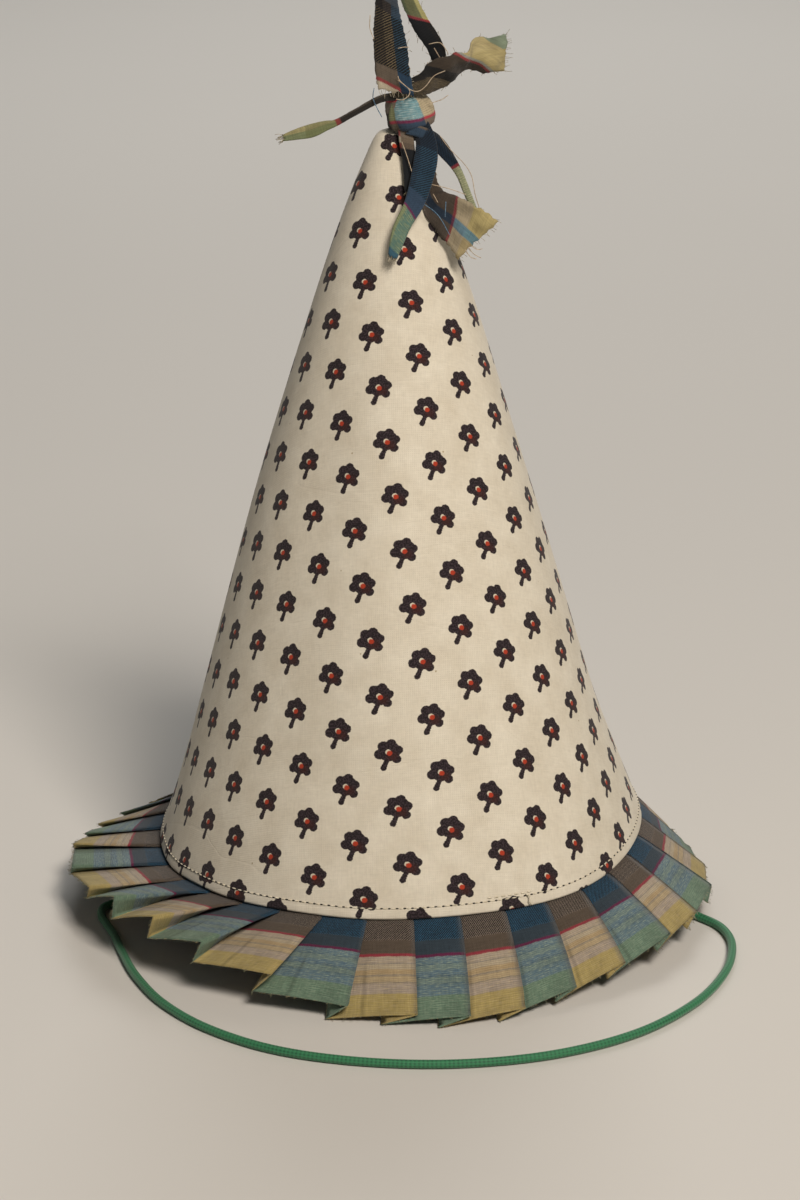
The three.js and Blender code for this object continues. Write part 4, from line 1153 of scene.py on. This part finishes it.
# The tassel's strips
# Strips torn from the ruffle's plaid cotton and tied on the hat's tip in one knot: a loop to hang the hat by,
# two tails, and four ends that fall in front of the crown. Their edges are torn, so they curl and fray.
TIP = settle(0, 0, CROWN_HEIGHT)
STRIP_CLOTH = 0.00035
STRIP_STEP = 0.0007
STRIP_LAYERS_APART = 0.00056
CROWN_CLEARANCE = 0.0005
STRIPS = [
    {
        "name": "tassel_loop",
        "section": "open",
        "cut": 0.009,
        "crumple": 0.0008,
        "curl": 0.12,
        "start_slant": 0.42,
        "end_slant": 0,
        "band_slant": -0.5,
        "band_slant_end": -1.1,
        "rows": [
            {"x": 0.0013, "y": -0.0066, "z": 0.0105, "width": 0.0084, "twist": 0},
            {"x": 0.0005, "y": -0.0056, "z": 0.0145, "width": 0.0088, "twist": -12},
            {"x": -0.0001, "y": -0.0036, "z": 0.02, "width": 0.0088, "twist": -12},
            {"x": -0.0007, "y": -0.0028, "z": 0.026, "width": 0.0076, "twist": -15},
            {"x": -0.0011, "y": -0.0016, "z": 0.032, "width": 0.0062, "twist": -25},
            {"x": -0.0008, "y": -0.0006, "z": 0.0375, "width": 0.005, "twist": -50},
            {"x": 0.0009, "y": 0.0004, "z": 0.0406, "width": 0.0044, "twist": -80},
            {"x": 0.0029, "y": 0.001, "z": 0.037, "width": 0.004, "twist": -40},
            {"x": 0.0052, "y": 0.0012, "z": 0.031, "width": 0.004, "twist": -10},
            {"x": 0.008, "y": 0.0009, "z": 0.0255, "width": 0.0044, "twist": 0},
            {"x": 0.0112, "y": 0.0003, "z": 0.0205, "width": 0.0042, "twist": 10},
            {"x": 0.0129, "y": -0.001, "z": 0.015, "width": 0.0034, "twist": 20},
        ],
        "stripes": [
            {"to": -0.0012, "column": "inner"},
            {"to": 0.0011, "column": "middle"},
            {"to": 0.01, "column": "outer"},
        ],
        "bands": [
            {"to": 0.001, "inner": "#1e2938", "middle": "#aba08b", "outer": "#aba08b", "twill": 0},
            {"to": 0.0021, "inner": "#1e2938", "middle": "#873d3d", "outer": "#873d3d", "twill": 0},
            {"to": 0.0062, "inner": "#253c52", "middle": "#61564a", "outer": "#63584c", "twill": 0.1},
            {"to": 0.0202, "inner": "#305066", "middle": "#847458", "outer": "#645641", "twill": 1},
            {"to": 0.0232, "inner": "#3a4d5f", "middle": "#403935", "outer": "#2a2625", "twill": 0.5},
            {"to": 0.0262, "inner": "#444d57", "middle": "#4a5159", "outer": "#53534d", "twill": 0.1},
            {"to": 0.0272, "inner": "#7a3740", "middle": "#83343a", "outer": "#83343a", "twill": 0},
            {"to": 0.046, "inner": "#576048", "middle": "#676a4c", "outer": "#a7a16d", "twill": 0.1},
            {"to": 0.0468, "inner": "#6e2e38", "middle": "#7b3239", "outer": "#903639", "twill": 0},
            {"to": 0.07, "inner": "#12161c", "middle": "#16191d", "outer": "#211e1c", "twill": 0.8},
        ],
    },
    {
        "name": "tassel_right_tail",
        "section": "open",
        "cut": 0.0095,
        "crumple": 0.0017,
        "curl": 0.3,
        "start_slant": 0,
        "end_slant": 0.15,
        "band_slant": 1.28,
        "rows": [
            {"x": 0.0008, "y": -0.0026, "z": 0.0074, "width": 0.0026, "twist": 0},
            {"x": 0.0027, "y": -0.005, "z": 0.0093, "width": 0.0034, "twist": 0},
            {"x": 0.0055, "y": -0.0058, "z": 0.0111, "width": 0.0045, "twist": 0},
            {"x": 0.0088, "y": -0.0048, "z": 0.0123, "width": 0.0058, "twist": 8},
            {"x": 0.0128, "y": -0.0034, "z": 0.0143, "width": 0.008, "twist": 12},
            {"x": 0.0161, "y": -0.0018, "z": 0.0154, "width": 0.007, "twist": 20},
            {"x": 0.019, "y": 0, "z": 0.0162, "width": 0.0058, "twist": 30},
            {"x": 0.0206, "y": 0.0014, "z": 0.0168, "width": 0.0066, "twist": 24},
            {"x": 0.0228, "y": 0.0028, "z": 0.0176, "width": 0.0094, "twist": 6},
            {"x": 0.0255, "y": 0.0036, "z": 0.0178, "width": 0.0084, "twist": -14},
            {"x": 0.0292, "y": 0.0048, "z": 0.018, "width": 0.0093, "twist": -4},
        ],
        "stripes": [
            {"to": 0.0012, "column": "lower"},
            {"to": 0.02, "column": "upper"},
        ],
        "bands": [
            {"to": 0.0135, "lower": "#7c6d52", "upper": "#36322c", "twill": 0.95},
            {"to": 0.0178, "lower": "#191816", "upper": "#191816", "twill": 0.5},
            {"to": 0.0244, "lower": "#3c342b", "upper": "#453b30", "twill": 0.45},
            {"to": 0.0252, "lower": "#7a3636", "upper": "#87393b", "twill": 0},
            {"to": 0.0262, "lower": "#868880", "upper": "#868880", "twill": 0},
            {"to": 0.035, "lower": "#a89b6e", "upper": "#ac9f75", "twill": 0.05},
            {"to": 0.05, "lower": "#9b8c58", "upper": "#7a8772", "twill": 0.05},
        ],
    },
    {
        "name": "tassel_left_tail",
        "section": "folded",
        "cut": 0.0048,
        "crumple": 0.0003,
        "curl": 0,
        "start_slant": 0,
        "end_slant": 0,
        "band_slant": 0,
        "rows": [
            {"x": 0.0045, "y": -0.0034, "z": 0.0086, "width": 0.0019, "twist": 0},
            {"x": -0.002, "y": -0.0053, "z": 0.0086, "width": 0.0016, "twist": 0},
            {"x": -0.0085, "y": -0.0076, "z": 0.0058, "width": 0.0013, "twist": 0},
            {"x": -0.0136, "y": -0.0096, "z": 0.0034, "width": 0.0014, "twist": 0},
            {"x": -0.0163, "y": -0.0106, "z": 0.0028, "width": 0.0023, "twist": 0},
            {"x": -0.0198, "y": -0.0118, "z": 0.0018, "width": 0.0033, "twist": -10},
            {"x": -0.0235, "y": -0.0128, "z": 0.0011, "width": 0.0026, "twist": -10},
            {"x": -0.0268, "y": -0.0135, "z": 0.0004, "width": 0.0014, "twist": 0},
        ],
        "stripes": [
            {"to": -0.0004, "column": "upper"},
            {"to": 0.01, "column": "lower"},
        ],
        "bands": [
            {"to": 0.0195, "upper": "#4f473d", "lower": "#28241f", "twill": 0.35},
            {"to": 0.0207, "upper": "#853c38", "lower": "#783634", "twill": 0},
            {"to": 0.029, "upper": "#85825c", "lower": "#717852", "twill": 0.1},
            {"to": 0.04, "upper": "#999268", "lower": "#78815e", "twill": 0.1},
        ],
    },
    {
        "name": "tassel_wide_flag",
        "section": "open",
        "cut": 0.0142,
        "crumple": 0.001,
        "curl": 0.05,
        "start_slant": 0,
        "end_slant": 0.06,
        "band_slant": 0.4,
        "rows": [
            {"x": 0.0074, "y": -0.0034, "z": 0.0012, "width": 0.0038, "twist": 0},
            {"x": 0.0086, "y": -0.0054, "z": -0.0045, "width": 0.0044, "twist": 0},
            {"x": 0.0088, "y": -0.0076, "z": -0.0104, "width": 0.005, "twist": 10},
            {"x": 0.0096, "y": -0.0092, "z": -0.0156, "width": 0.0072, "twist": 14},
            {"x": 0.0126, "y": -0.0104, "z": -0.0188, "width": 0.01, "twist": 12},
            {"x": 0.0166, "y": -0.0114, "z": -0.0216, "width": 0.0122, "twist": 10},
            {"x": 0.0218, "y": -0.0128, "z": -0.0263, "width": 0.0142, "twist": 4},
        ],
        "stripes": [
            {"to": -0.0017, "column": "lower"},
            {"to": 0.0005, "column": "middle"},
            {"to": 0.02, "column": "upper"},
        ],
        "bands": [
            {"to": 0.0262, "lower": "#564c43", "middle": "#26374b", "upper": "#51463c", "twill": 0.3},
            {"to": 0.0271, "lower": "#7c3c3c", "middle": "#5e2e42", "upper": "#7b373a", "twill": 0},
            {"to": 0.031, "lower": "#9f937b", "middle": "#5b7683", "upper": "#9d9178", "twill": 0},
            {"to": 0.05, "lower": "#a3946f", "middle": "#5f7f89", "upper": "#a99b6b", "twill": 0},
        ],
    },
    {
        "name": "tassel_dark_end",
        "section": "folded",
        "cut": 0.0056,
        "crumple": 0.0006,
        "curl": 0,
        "start_slant": 0,
        "end_slant": 0,
        "band_slant": -0.3,
        "rows": [
            {"x": 0.0036, "y": -0.0048, "z": 0.0014, "width": 0.0036, "twist": 0},
            {"x": 0.0039, "y": -0.0064, "z": -0.0024, "width": 0.0034, "twist": 0},
            {"x": 0.0045, "y": -0.0084, "z": -0.0074, "width": 0.003, "twist": 0},
            {"x": 0.0044, "y": -0.0112, "z": -0.014, "width": 0.0018, "twist": 0},
        ],
        "stripes": [
            {"to": -0.0013, "column": "edge"},
            {"to": 0.01, "column": "rest"},
        ],
        "bands": [
            {"to": 0.0032, "edge": "#7c3c3a", "rest": "#716558", "twill": 0.1},
            {"to": 0.0048, "edge": "#a89f8c", "rest": "#6c5f50", "twill": 0.1},
            {"to": 0.0062, "edge": "#853936", "rest": "#625649", "twill": 0.2},
            {"to": 0.03, "edge": "#1f2227", "rest": "#181b1f", "twill": 0.4},
        ],
    },
    {
        "name": "tassel_front_end",
        "section": "folded",
        "cut": 0.0108,
        "crumple": 0.0006,
        "curl": 0,
        "start_slant": 0,
        "end_slant": 0.25,
        "band_slant": -0.44,
        "rows": [
            {"x": 0.007, "y": -0.0052, "z": 0.0016, "width": 0.0048, "twist": 0},
            {"x": 0.0085, "y": -0.0074, "z": -0.0012, "width": 0.0049, "twist": 10},
            {"x": 0.0088, "y": -0.0092, "z": -0.0042, "width": 0.0055, "twist": 14},
            {"x": 0.0084, "y": -0.0106, "z": -0.0074, "width": 0.0057, "twist": 10},
            {"x": 0.0072, "y": -0.0126, "z": -0.0122, "width": 0.0052, "twist": 0},
            {"x": 0.0057, "y": -0.0144, "z": -0.0165, "width": 0.0047, "twist": -6},
            {"x": 0.0031, "y": -0.0166, "z": -0.0208, "width": 0.0041, "twist": -10},
            {"x": 0.0014, "y": -0.0182, "z": -0.0249, "width": 0.0034, "twist": -8},
            {"x": 0.0002, "y": -0.0194, "z": -0.0288, "width": 0.0021, "twist": 0},
        ],
        "stripes": [
            {"to": -0.0013, "column": "edge"},
            {"to": 0.02, "column": "rest", "fleck": "#a8a772"},
        ],
        "bands": [
            {"to": 0.0065, "edge": "#16202c", "rest": "#1b2f42", "twill": 0.7},
            {"to": 0.0185, "edge": "#29455c", "rest": "#2d5069", "twill": 0.85},
            {"to": 0.0231, "edge": "#31455b", "rest": "#32455b", "twill": 0.2},
            {"to": 0.0238, "edge": "#692750", "rest": "#5e2548", "twill": 0},
            {"to": 0.0342, "edge": "#7e8764", "rest": "#56776e", "twill": 0.15, "fleck": 1},
            {"to": 0.05, "edge": "#365b6d", "rest": "#365b6d", "twill": 0.1},
        ],
    },
    {
        "name": "tassel_thin_end",
        "section": "folded",
        "cut": 0.0052,
        "crumple": 0.0004,
        "curl": 0,
        "start_slant": 0,
        "end_slant": 0,
        "band_slant": 0,
        "rows": [
            {"x": 0.0042, "y": -0.0062, "z": 0.0008, "width": 0.0022, "twist": 0},
            {"x": 0.0076, "y": -0.007, "z": 0.0002, "width": 0.0027, "twist": 0},
            {"x": 0.0108, "y": -0.007, "z": -0.0016, "width": 0.0031, "twist": 0},
            {"x": 0.0134, "y": -0.0068, "z": -0.0048, "width": 0.0031, "twist": 10},
            {"x": 0.0156, "y": -0.0072, "z": -0.0078, "width": 0.0022, "twist": 15},
            {"x": 0.0174, "y": -0.008, "z": -0.0108, "width": 0.0016, "twist": 10},
            {"x": 0.0192, "y": -0.0094, "z": -0.015, "width": 0.0015, "twist": 0},
            {"x": 0.0216, "y": -0.0106, "z": -0.0206, "width": 0.0011, "twist": 0},
        ],
        "stripes": [
            {"to": 0.0011, "column": "rest", "fleck": "#c4c2a0"},
            {"to": 0.01, "column": "upper"},
        ],
        "bands": [
            {"to": 0.0048, "rest": "#364b60", "upper": "#63584d", "twill": 0.2},
            {"to": 0.0158, "rest": "#243b52", "upper": "#383f47", "twill": 0.75},
            {"to": 0.0166, "rest": "#84333b", "upper": "#84333b", "twill": 0},
            {"to": 0.04, "rest": "#8f9474", "upper": "#6a8180", "twill": 0.1, "fleck": 1},
        ],
    },
]


def off_the_crown(place, clearance):
    """A place pushed straight out to where it clears the crown, if it lies in the crown or too near it."""
    up = place.z - HEM_HEIGHT
    if not 0 < up < CROWN_HEIGHT:
        return place
    axis = AXIS + Vector((TIP_LEAN * up / CROWN_HEIGHT, 0, 0))
    away = Vector((place.x - axis.x, place.y - axis.y, 0))
    room = between(CROWN_OUTLINE, "up", up, "radius") + clearance
    if away.length >= room or away.length < 1e-6:
        return place
    return Vector((axis.x, axis.y, place.z)) + away.normalized() * room


def strip_section(kind, cut, width, curl):
    """Points across a strip, as places along it and behind it, with how far each lies along the cloth."""
    half = width / 2
    if kind == "open":
        shares = [k / 7 for k in range(-7, 8)]
        return [(half * s, curl * half * s * s, half * s) for s in shares]
    bend = STRIP_LAYERS_APART / 2
    flap = min(max((cut - width) / 2, 0.0002), width * 0.85)
    side = [(half - bend) * k / 4 for k in range(1, 5)]
    right = [(a, 0, a) for a in side]
    for turn in (-45, 0, 45, 90):
        swing = math.radians(turn)
        arc = bend * math.radians(turn + 90)
        right.append((half - bend + bend * math.cos(swing), bend + bend * math.sin(swing), half - bend + arc))
    end = right[-1]
    for k in range(1, 4):
        right.append((end[0] - flap * k / 3, end[1], end[2] + flap * k / 3))
    return [(-a, d, -u) for a, d, u in reversed(right)] + [(0, 0, 0)] + right


def strip_rows(rows):
    """A strip's rows drawn out into a smooth run of finer rows."""
    vectors = [Vector((r["x"], r["y"], r["z"], r["width"], math.radians(r["twist"]))) for r in rows]
    fine = []
    for i in range(len(vectors) - 1):
        before = vectors[i - 1] if i > 0 else 2 * vectors[0] - vectors[1]
        after = vectors[i + 2] if i + 2 < len(vectors) else 2 * vectors[-1] - vectors[-2]
        gap = Vector(vectors[i + 1][:3]) - Vector(vectors[i][:3])
        count = max(1, round(gap.length / STRIP_STEP))
        fine.extend(curve_point(before, vectors[i], vectors[i + 1], after, k / count) for k in range(count))
    fine.append(vectors[-1])
    return fine


fray_dice = random.Random(7)
frayed_threads = []


def fray(start, way, length):
    """Notes a short loose thread that sticks out from a torn edge, with a bend of its own."""
    stray = Vector([fray_dice.uniform(-0.7, 0.7) for _ in range(3)])
    end = start + (way + stray * 0.6).normalized() * length
    middle = (start + end) / 2 + stray * length * 0.18
    frayed_threads.append([off_the_crown(p, CROWN_CLEARANCE) for p in (start - way * 0.0004, start, middle, end)])


def torn_strip(row, seed):
    """One torn strip of the tassel as a piece, with the width and length of its cloth and its area."""
    rows = strip_rows(row["rows"])
    middles = [Vector(r[:3]) for r in rows]
    lengths = line_lengths(middles)
    points = []
    corners_at = []
    area = 0
    widest = 0.01
    for i, fine in enumerate(rows):
        before = middles[max(i - 1, 0)]
        after = middles[min(i + 1, len(rows) - 1)]
        run = (after - before).normalized()
        across = run.cross(Vector((0, 1, 0))).normalized()
        across.rotate(Matrix.Rotation(fine[4], 3, run))
        face = across.cross(run).normalized()
        slant = mix(row["band_slant"], row.get("band_slant_end", row["band_slant"]), lengths[i] / lengths[-1])
        section = strip_section(row["section"], row["cut"], fine[3], row["curl"])
        near_start = max(0, 1 - lengths[i] / 0.006)
        near_end = max(0, 1 - (lengths[-1] - lengths[i]) / 0.006)
        shift = row["start_slant"] * near_start + row["end_slant"] * near_end
        cloth_width = section[-1][2] - section[0][2]
        widest = max(widest, cloth_width)
        area += cloth_width * (lengths[i] - lengths[i - 1] if i else 0)
        for j, (sideways, behind, along_cloth) in enumerate(section):
            at = Vector((along_cloth * 260, lengths[i] * 260, seed * 10))
            crumple = noise.noise(at) * row["crumple"] * min(1, fine[3] / 0.006)
            at_edge = j in (0, len(section) - 1)
            ragged = 1 + (noise.noise(at * 7) * 0.09 if at_edge else 0)
            torn = noise.noise(Vector((along_cloth * 2500, seed, 0))) * 0.0011 if i in (0, len(rows) - 1) else 0
            place = middles[i] + across * sideways * ragged + face * (behind + crumple)
            place += run * (shift * sideways + torn)
            points.append(off_the_crown(TIP + place, CROWN_CLEARANCE))
            corners_at.append((along_cloth, lengths[i] + slant * along_cloth))
            if at_edge and row["section"] == "open" and fray_dice.random() < 0.4:
                way = (across * (1 if j else -1) + run * fray_dice.uniform(-2.5, 2.5)).normalized()
                fray(points[-1], way, 0.0003 + 0.0016 * fray_dice.random() ** 3)
            if i == len(rows) - 1 or (i == 0 and row["name"] == "tassel_loop"):
                fray(points[-1], run * (1 if i else -1), fray_dice.uniform(0.0004, 0.0022))
    size = len(section)
    faces = []
    corners = []
    for i in range(len(rows) - 1):
        for j in range(size - 1):
            here = i * size + j
            face_corners = (here, here + 1, here + size + 1, here + size)
            faces.append(face_corners)
            corners.append(tuple(corners_at[c] for c in face_corners))
    finish = plaid_cotton(row["name"] + "_torn_plaid_cotton", row["stripes"], row["bands"])
    made = mesh_object(row["name"], points, faces, {"Cloth": corners}, [finish])
    apply_modifier(made, "SOLIDIFY", thickness=STRIP_CLOTH, offset=0)
    return made, widest, lengths[-1], area


for seed, row in enumerate(STRIPS):
    strip, strip_width, strip_length, strip_area = torn_strip(row, seed)
    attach(strip, "root")
    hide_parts("tassel")

# The tassel's knot
# The middle of the strips, drawn tight: one wrap of plaid goes round the others, blue in front with a cream
# stripe at its right, and inside it is the crumpled dark core. Below the wrap the four ends come out.
KNOT_MIDDLE = Vector((0.0043, -0.0006, 0))
KNOT_LOW = -0.0034
KNOT_HIGH = 0.0094
KNOT_ACROSS = 0.0053
KNOT_DEEP = 0.0052
# How far the knot leans over, from its foot to its head
KNOT_LEAN = -0.0017
KNOT_SWELL = [
    {"share": 0, "width": 0.68},
    {"share": 0.25, "width": 0.92},
    {"share": 0.6, "width": 1},
    {"share": 0.85, "width": 0.86},
    {"share": 1, "width": 0.55},
]
WRAP_START = 222
WRAP_TURN = 396
WRAP_STEP = 6
WRAP_ROWS = 18
WRAP_LOW = 0.27
WRAP_SLANT = 0.16
WRAP_OVERLAP = 0.0011
WRAP_STRIPES = [
    {"to": -0.0031, "column": "edge"},
    {"to": 0.0031, "column": "front", "fleck": "#c3ccc4"},
    {"to": 0.009, "column": "right"},
    {"to": 0.016, "column": "front"},
    {"to": 0.021, "column": "edge"},
    {"to": 0.05, "column": "right"},
]
WRAP_BANDS = [
    {"to": 0.0012, "edge": "#80805a", "front": "#7f9a8e", "right": "#a3956f", "twill": 0.1, "fleck": 1},
    {"to": 0.0063, "edge": "#6d7050", "front": "#6c929a", "right": "#aea083", "twill": 0, "fleck": 1},
    {"to": 0.0071, "edge": "#8c3440", "front": "#6f2c4c", "right": "#a83a44", "twill": 0},
    {"to": 0.0098, "edge": "#5b5347", "front": "#35475c", "right": "#77695c", "twill": 0.15},
    {"to": 0.02, "edge": "#2b2a2a", "front": "#16233a", "right": "#3f3833", "twill": 0.5},
]


def knot_place(azimuth, share, proud):
    """A point of the knot's surface, proud of it by some distance."""
    width = between(KNOT_SWELL, "share", share, "width")
    turn = math.radians(azimuth)
    x = (KNOT_ACROSS * width + proud) * math.cos(turn) + KNOT_LEAN * (share - 0.5)
    y = (KNOT_DEEP * width + proud) * math.sin(turn)
    return TIP + KNOT_MIDDLE + Vector((x, y, mix(KNOT_LOW, KNOT_HIGH, share)))


wrap_points = []
wrap_places = []
wrap_columns = round(WRAP_TURN / WRAP_STEP) + 1
wrap_run = 0.0
for c in range(wrap_columns):
    azimuth = WRAP_START + c * WRAP_STEP
    front = (azimuth - 270) / 57.3 * (KNOT_ACROSS + KNOT_DEEP) / 2
    over = WRAP_OVERLAP * smoothstep(c / (wrap_columns - 1), 0.0, 0.15) if c < wrap_columns / 2 else 0
    for r in range(WRAP_ROWS + 1):
        down = r / WRAP_ROWS
        share = mix(1.0, WRAP_LOW + 0.08 * math.sin(math.radians(azimuth - 250)), down)
        at = Vector((front * 330, share * 3, 5))
        crumple = noise.noise(at) * 0.0006 + noise.noise(at * 2.3) * 0.0003
        rolled = 0.0007 * math.exp(-((c / 1.4) ** 2)) * smoothstep(down, 0.0, 0.4)
        tuck = -0.0012 * smoothstep(down, 0.9, 1.0) - 0.001 * smoothstep(1 - down, 0.9, 1.0)
        place = knot_place(azimuth, share, 0.0003 + over + rolled + crumple + tuck)
        wrap_points.append(off_the_crown(place, CROWN_CLEARANCE))
        down_cloth = (1 - share) * (KNOT_HIGH - KNOT_LOW)
        wrap_places.append((front - 0.18 * down_cloth + 0.0006, down_cloth + WRAP_SLANT * front))
wrap_faces = []
wrap_corners = []
for c in range(wrap_columns - 1):
    for r in range(WRAP_ROWS):
        here = c * (WRAP_ROWS + 1) + r
        there = here + WRAP_ROWS + 1
        wrap_face = (here, here + 1, there + 1, there)
        wrap_faces.append(wrap_face)
        wrap_corners.append(tuple(wrap_places[k] for k in wrap_face))
wrap_finish = plaid_cotton("knot_wrap_plaid_cotton", WRAP_STRIPES, WRAP_BANDS)
wrap = mesh_object("tassel_knot_wrap", wrap_points, wrap_faces, {"Cloth": wrap_corners}, [wrap_finish])
apply_modifier(wrap, "SOLIDIFY", thickness=STRIP_CLOTH, offset=0)

CORE_ROWS = 22
CORE_COLUMNS = 48
CORE_STRIPES = [{"to": 0.5, "column": "all"}]
CORE_BANDS = [
    {"to": 0.004, "all": "#4a4030", "twill": 0.6},
    {"to": 0.0075, "all": "#233750", "twill": 0.6},
    {"to": 0.03, "all": "#131b28", "twill": 0.6},
]
core_points = []
core_places = []
for r in range(CORE_ROWS + 1):
    share = r / CORE_ROWS
    closing = math.sqrt(max(1 - abs(2 * share - 1) ** 6, 0))
    for c in range(CORE_COLUMNS):
        azimuth = 360 * c / CORE_COLUMNS
        pucker = 0.0005 * math.sin(math.radians(azimuth * 7 + 150 * share)) * closing
        at = Vector((math.cos(math.radians(azimuth)) * 2, math.sin(math.radians(azimuth)) * 2, share * 4))
        place = knot_place(azimuth, share, -0.0009 + pucker + noise.noise(at) * 0.0006)
        middle = TIP + KNOT_MIDDLE + Vector((0, 0, mix(KNOT_LOW, KNOT_HIGH, share)))
        core_points.append(off_the_crown(middle.lerp(place, closing), CROWN_CLEARANCE))
        core_places.append((azimuth / 57.3 * KNOT_ACROSS, (1 - share) * (KNOT_HIGH - KNOT_LOW)))
core_faces = []
core_corners = []
for r in range(CORE_ROWS):
    for c in range(CORE_COLUMNS):
        here = r * CORE_COLUMNS + c
        beside = r * CORE_COLUMNS + (c + 1) % CORE_COLUMNS
        core_face = (here, beside, beside + CORE_COLUMNS, here + CORE_COLUMNS)
        core_faces.append(core_face)
        core_corners.append(tuple(core_places[k] for k in core_face))
core_finish = plaid_cotton("knot_core_plaid_cotton", CORE_STRIPES, CORE_BANDS)
core = mesh_object("tassel_knot_core", core_points, core_faces, {"Cloth": core_corners}, [core_finish])
apply_modifier(core, "WELD", merge_threshold=0.00005)

# The tassel's loose threads
# Single yarns that have come out of the torn edges: long cream and blue ones that hang round the knot, and a
# short fuzz along every torn edge and end.
LONG_THREAD = 0.00021
SHORT_THREAD = 0.00013
LONG_SIDES = 6
SHORT_SIDES = 3
CREAM_THREADS = {
    "swag": [(1.8, -7.5, 14.7), (2.3, -7.5, 13.5), (5, -7.5, 11.2), (7, -7.5, 10.9), (8.8, -7.5, 12.2),
             (10.8, -7.5, 14.7), (13.6, -7.5, 16)],
    "curl": [(1.8, -8, 13.8), (4.5, -8, 11.5), (4.5, -8, 10), (3, -8, 8.8), (1.3, -8, 9)],
    "leg_outer": [(9.6, -1, 21.5), (12.4, -1, 21.8), (14.1, -1, 19.7), (14.4, -1, 18.7)],
    "leg_inner": [(10.9, -2, 20.7), (12.9, -2, 17.4), (14.9, -2, 15.1)],
    "on_leg": [(1.8, -4.9, 21.2), (3.1, -5, 21.5), (4.6, -4.9, 21.5)],
    "between_legs": [(9.3, -3, 17.3), (9.1, -3, 16.3)],
    "left_long": [(-5.1, -3, 29.3), (-5.2, -3, 26), (-4.2, -3, 23.2)],
    "under_tail": [(9.6, -4.6, 7.1), (12.6, -4, 7.9), (14.4, -4, 9.1)],
    "right_long": [(12.3, -9, -0.2), (14.8, -9, -3.6), (18.6, -9, -7.7), (20.3, -9, -10.8), (21.1, -9, -15.2),
                   (22.1, -9, -18.5)],
    "on_flag": [(9.7, -11, -12.1), (14.3, -11.6, -13.1), (18.8, -11.6, -14.7)],
    "flag_short": [(10.5, -11, -14.6), (11.7, -11.6, -16.7)],
    "flag_fringe_one": [(20, -14, -27.3), (21.6, -14, -28.3), (22.9, -14, -28.1)],
    "flag_fringe_two": [(19.3, -14, -27.7), (20.8, -14, -29.5), (22.6, -14, -30.5)],
    "flag_fringe_three": [(18.5, -14, -28.3), (19.9, -14, -30.2), (21.4, -14, -30.8)],
    "over_dark_end": [(2.7, -8, -1.9), (4, -9, -5.5), (5.2, -10.6, -9.1)],
}
BLUE_THREADS = {
    "left": [(-4.2, -7, 11.6), (-4.5, -7, 9.1), (-3.5, -7, 6.5), (-2.3, -7, 4.2)],
    "on_flag": [(13.7, -13, -16.2), (13.5, -13, -20.1)],
    "along_flag": [(7.9, -13, -16.5), (11.7, -13, -19.6), (14.7, -13, -24.8)],
}


def thread_line(places):
    """A smooth line through places given in millimetres from the hat's tip."""
    return smooth_line([TIP + Vector(place) / 1000 for place in places], 0.0004)


cream_threads = thread_piece(
    "tassel_cream_threads",
    [thread_line(places) for places in CREAM_THREADS.values()],
    LONG_THREAD,
    LONG_SIDES,
    yarn("unravelled_cream_yarn", "#9f8a70", "#cbb9a0"),
)
blue_threads = thread_piece(
    "tassel_blue_threads",
    [thread_line(places) for places in BLUE_THREADS.values()],
    LONG_THREAD,
    LONG_SIDES,
    yarn("unravelled_blue_yarn", "#33506b", "#6f93ad"),
)
fuzz = thread_piece(
    "tassel_frayed_edges",
    frayed_threads,
    SHORT_THREAD,
    SHORT_SIDES,
    yarn("frayed_plaid_yarn", "#6a6457", "#c2b79b"),
)
for piece in (wrap, core, cream_threads, blue_threads, fuzz):
    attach(piece, "root")
    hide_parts("tassel")
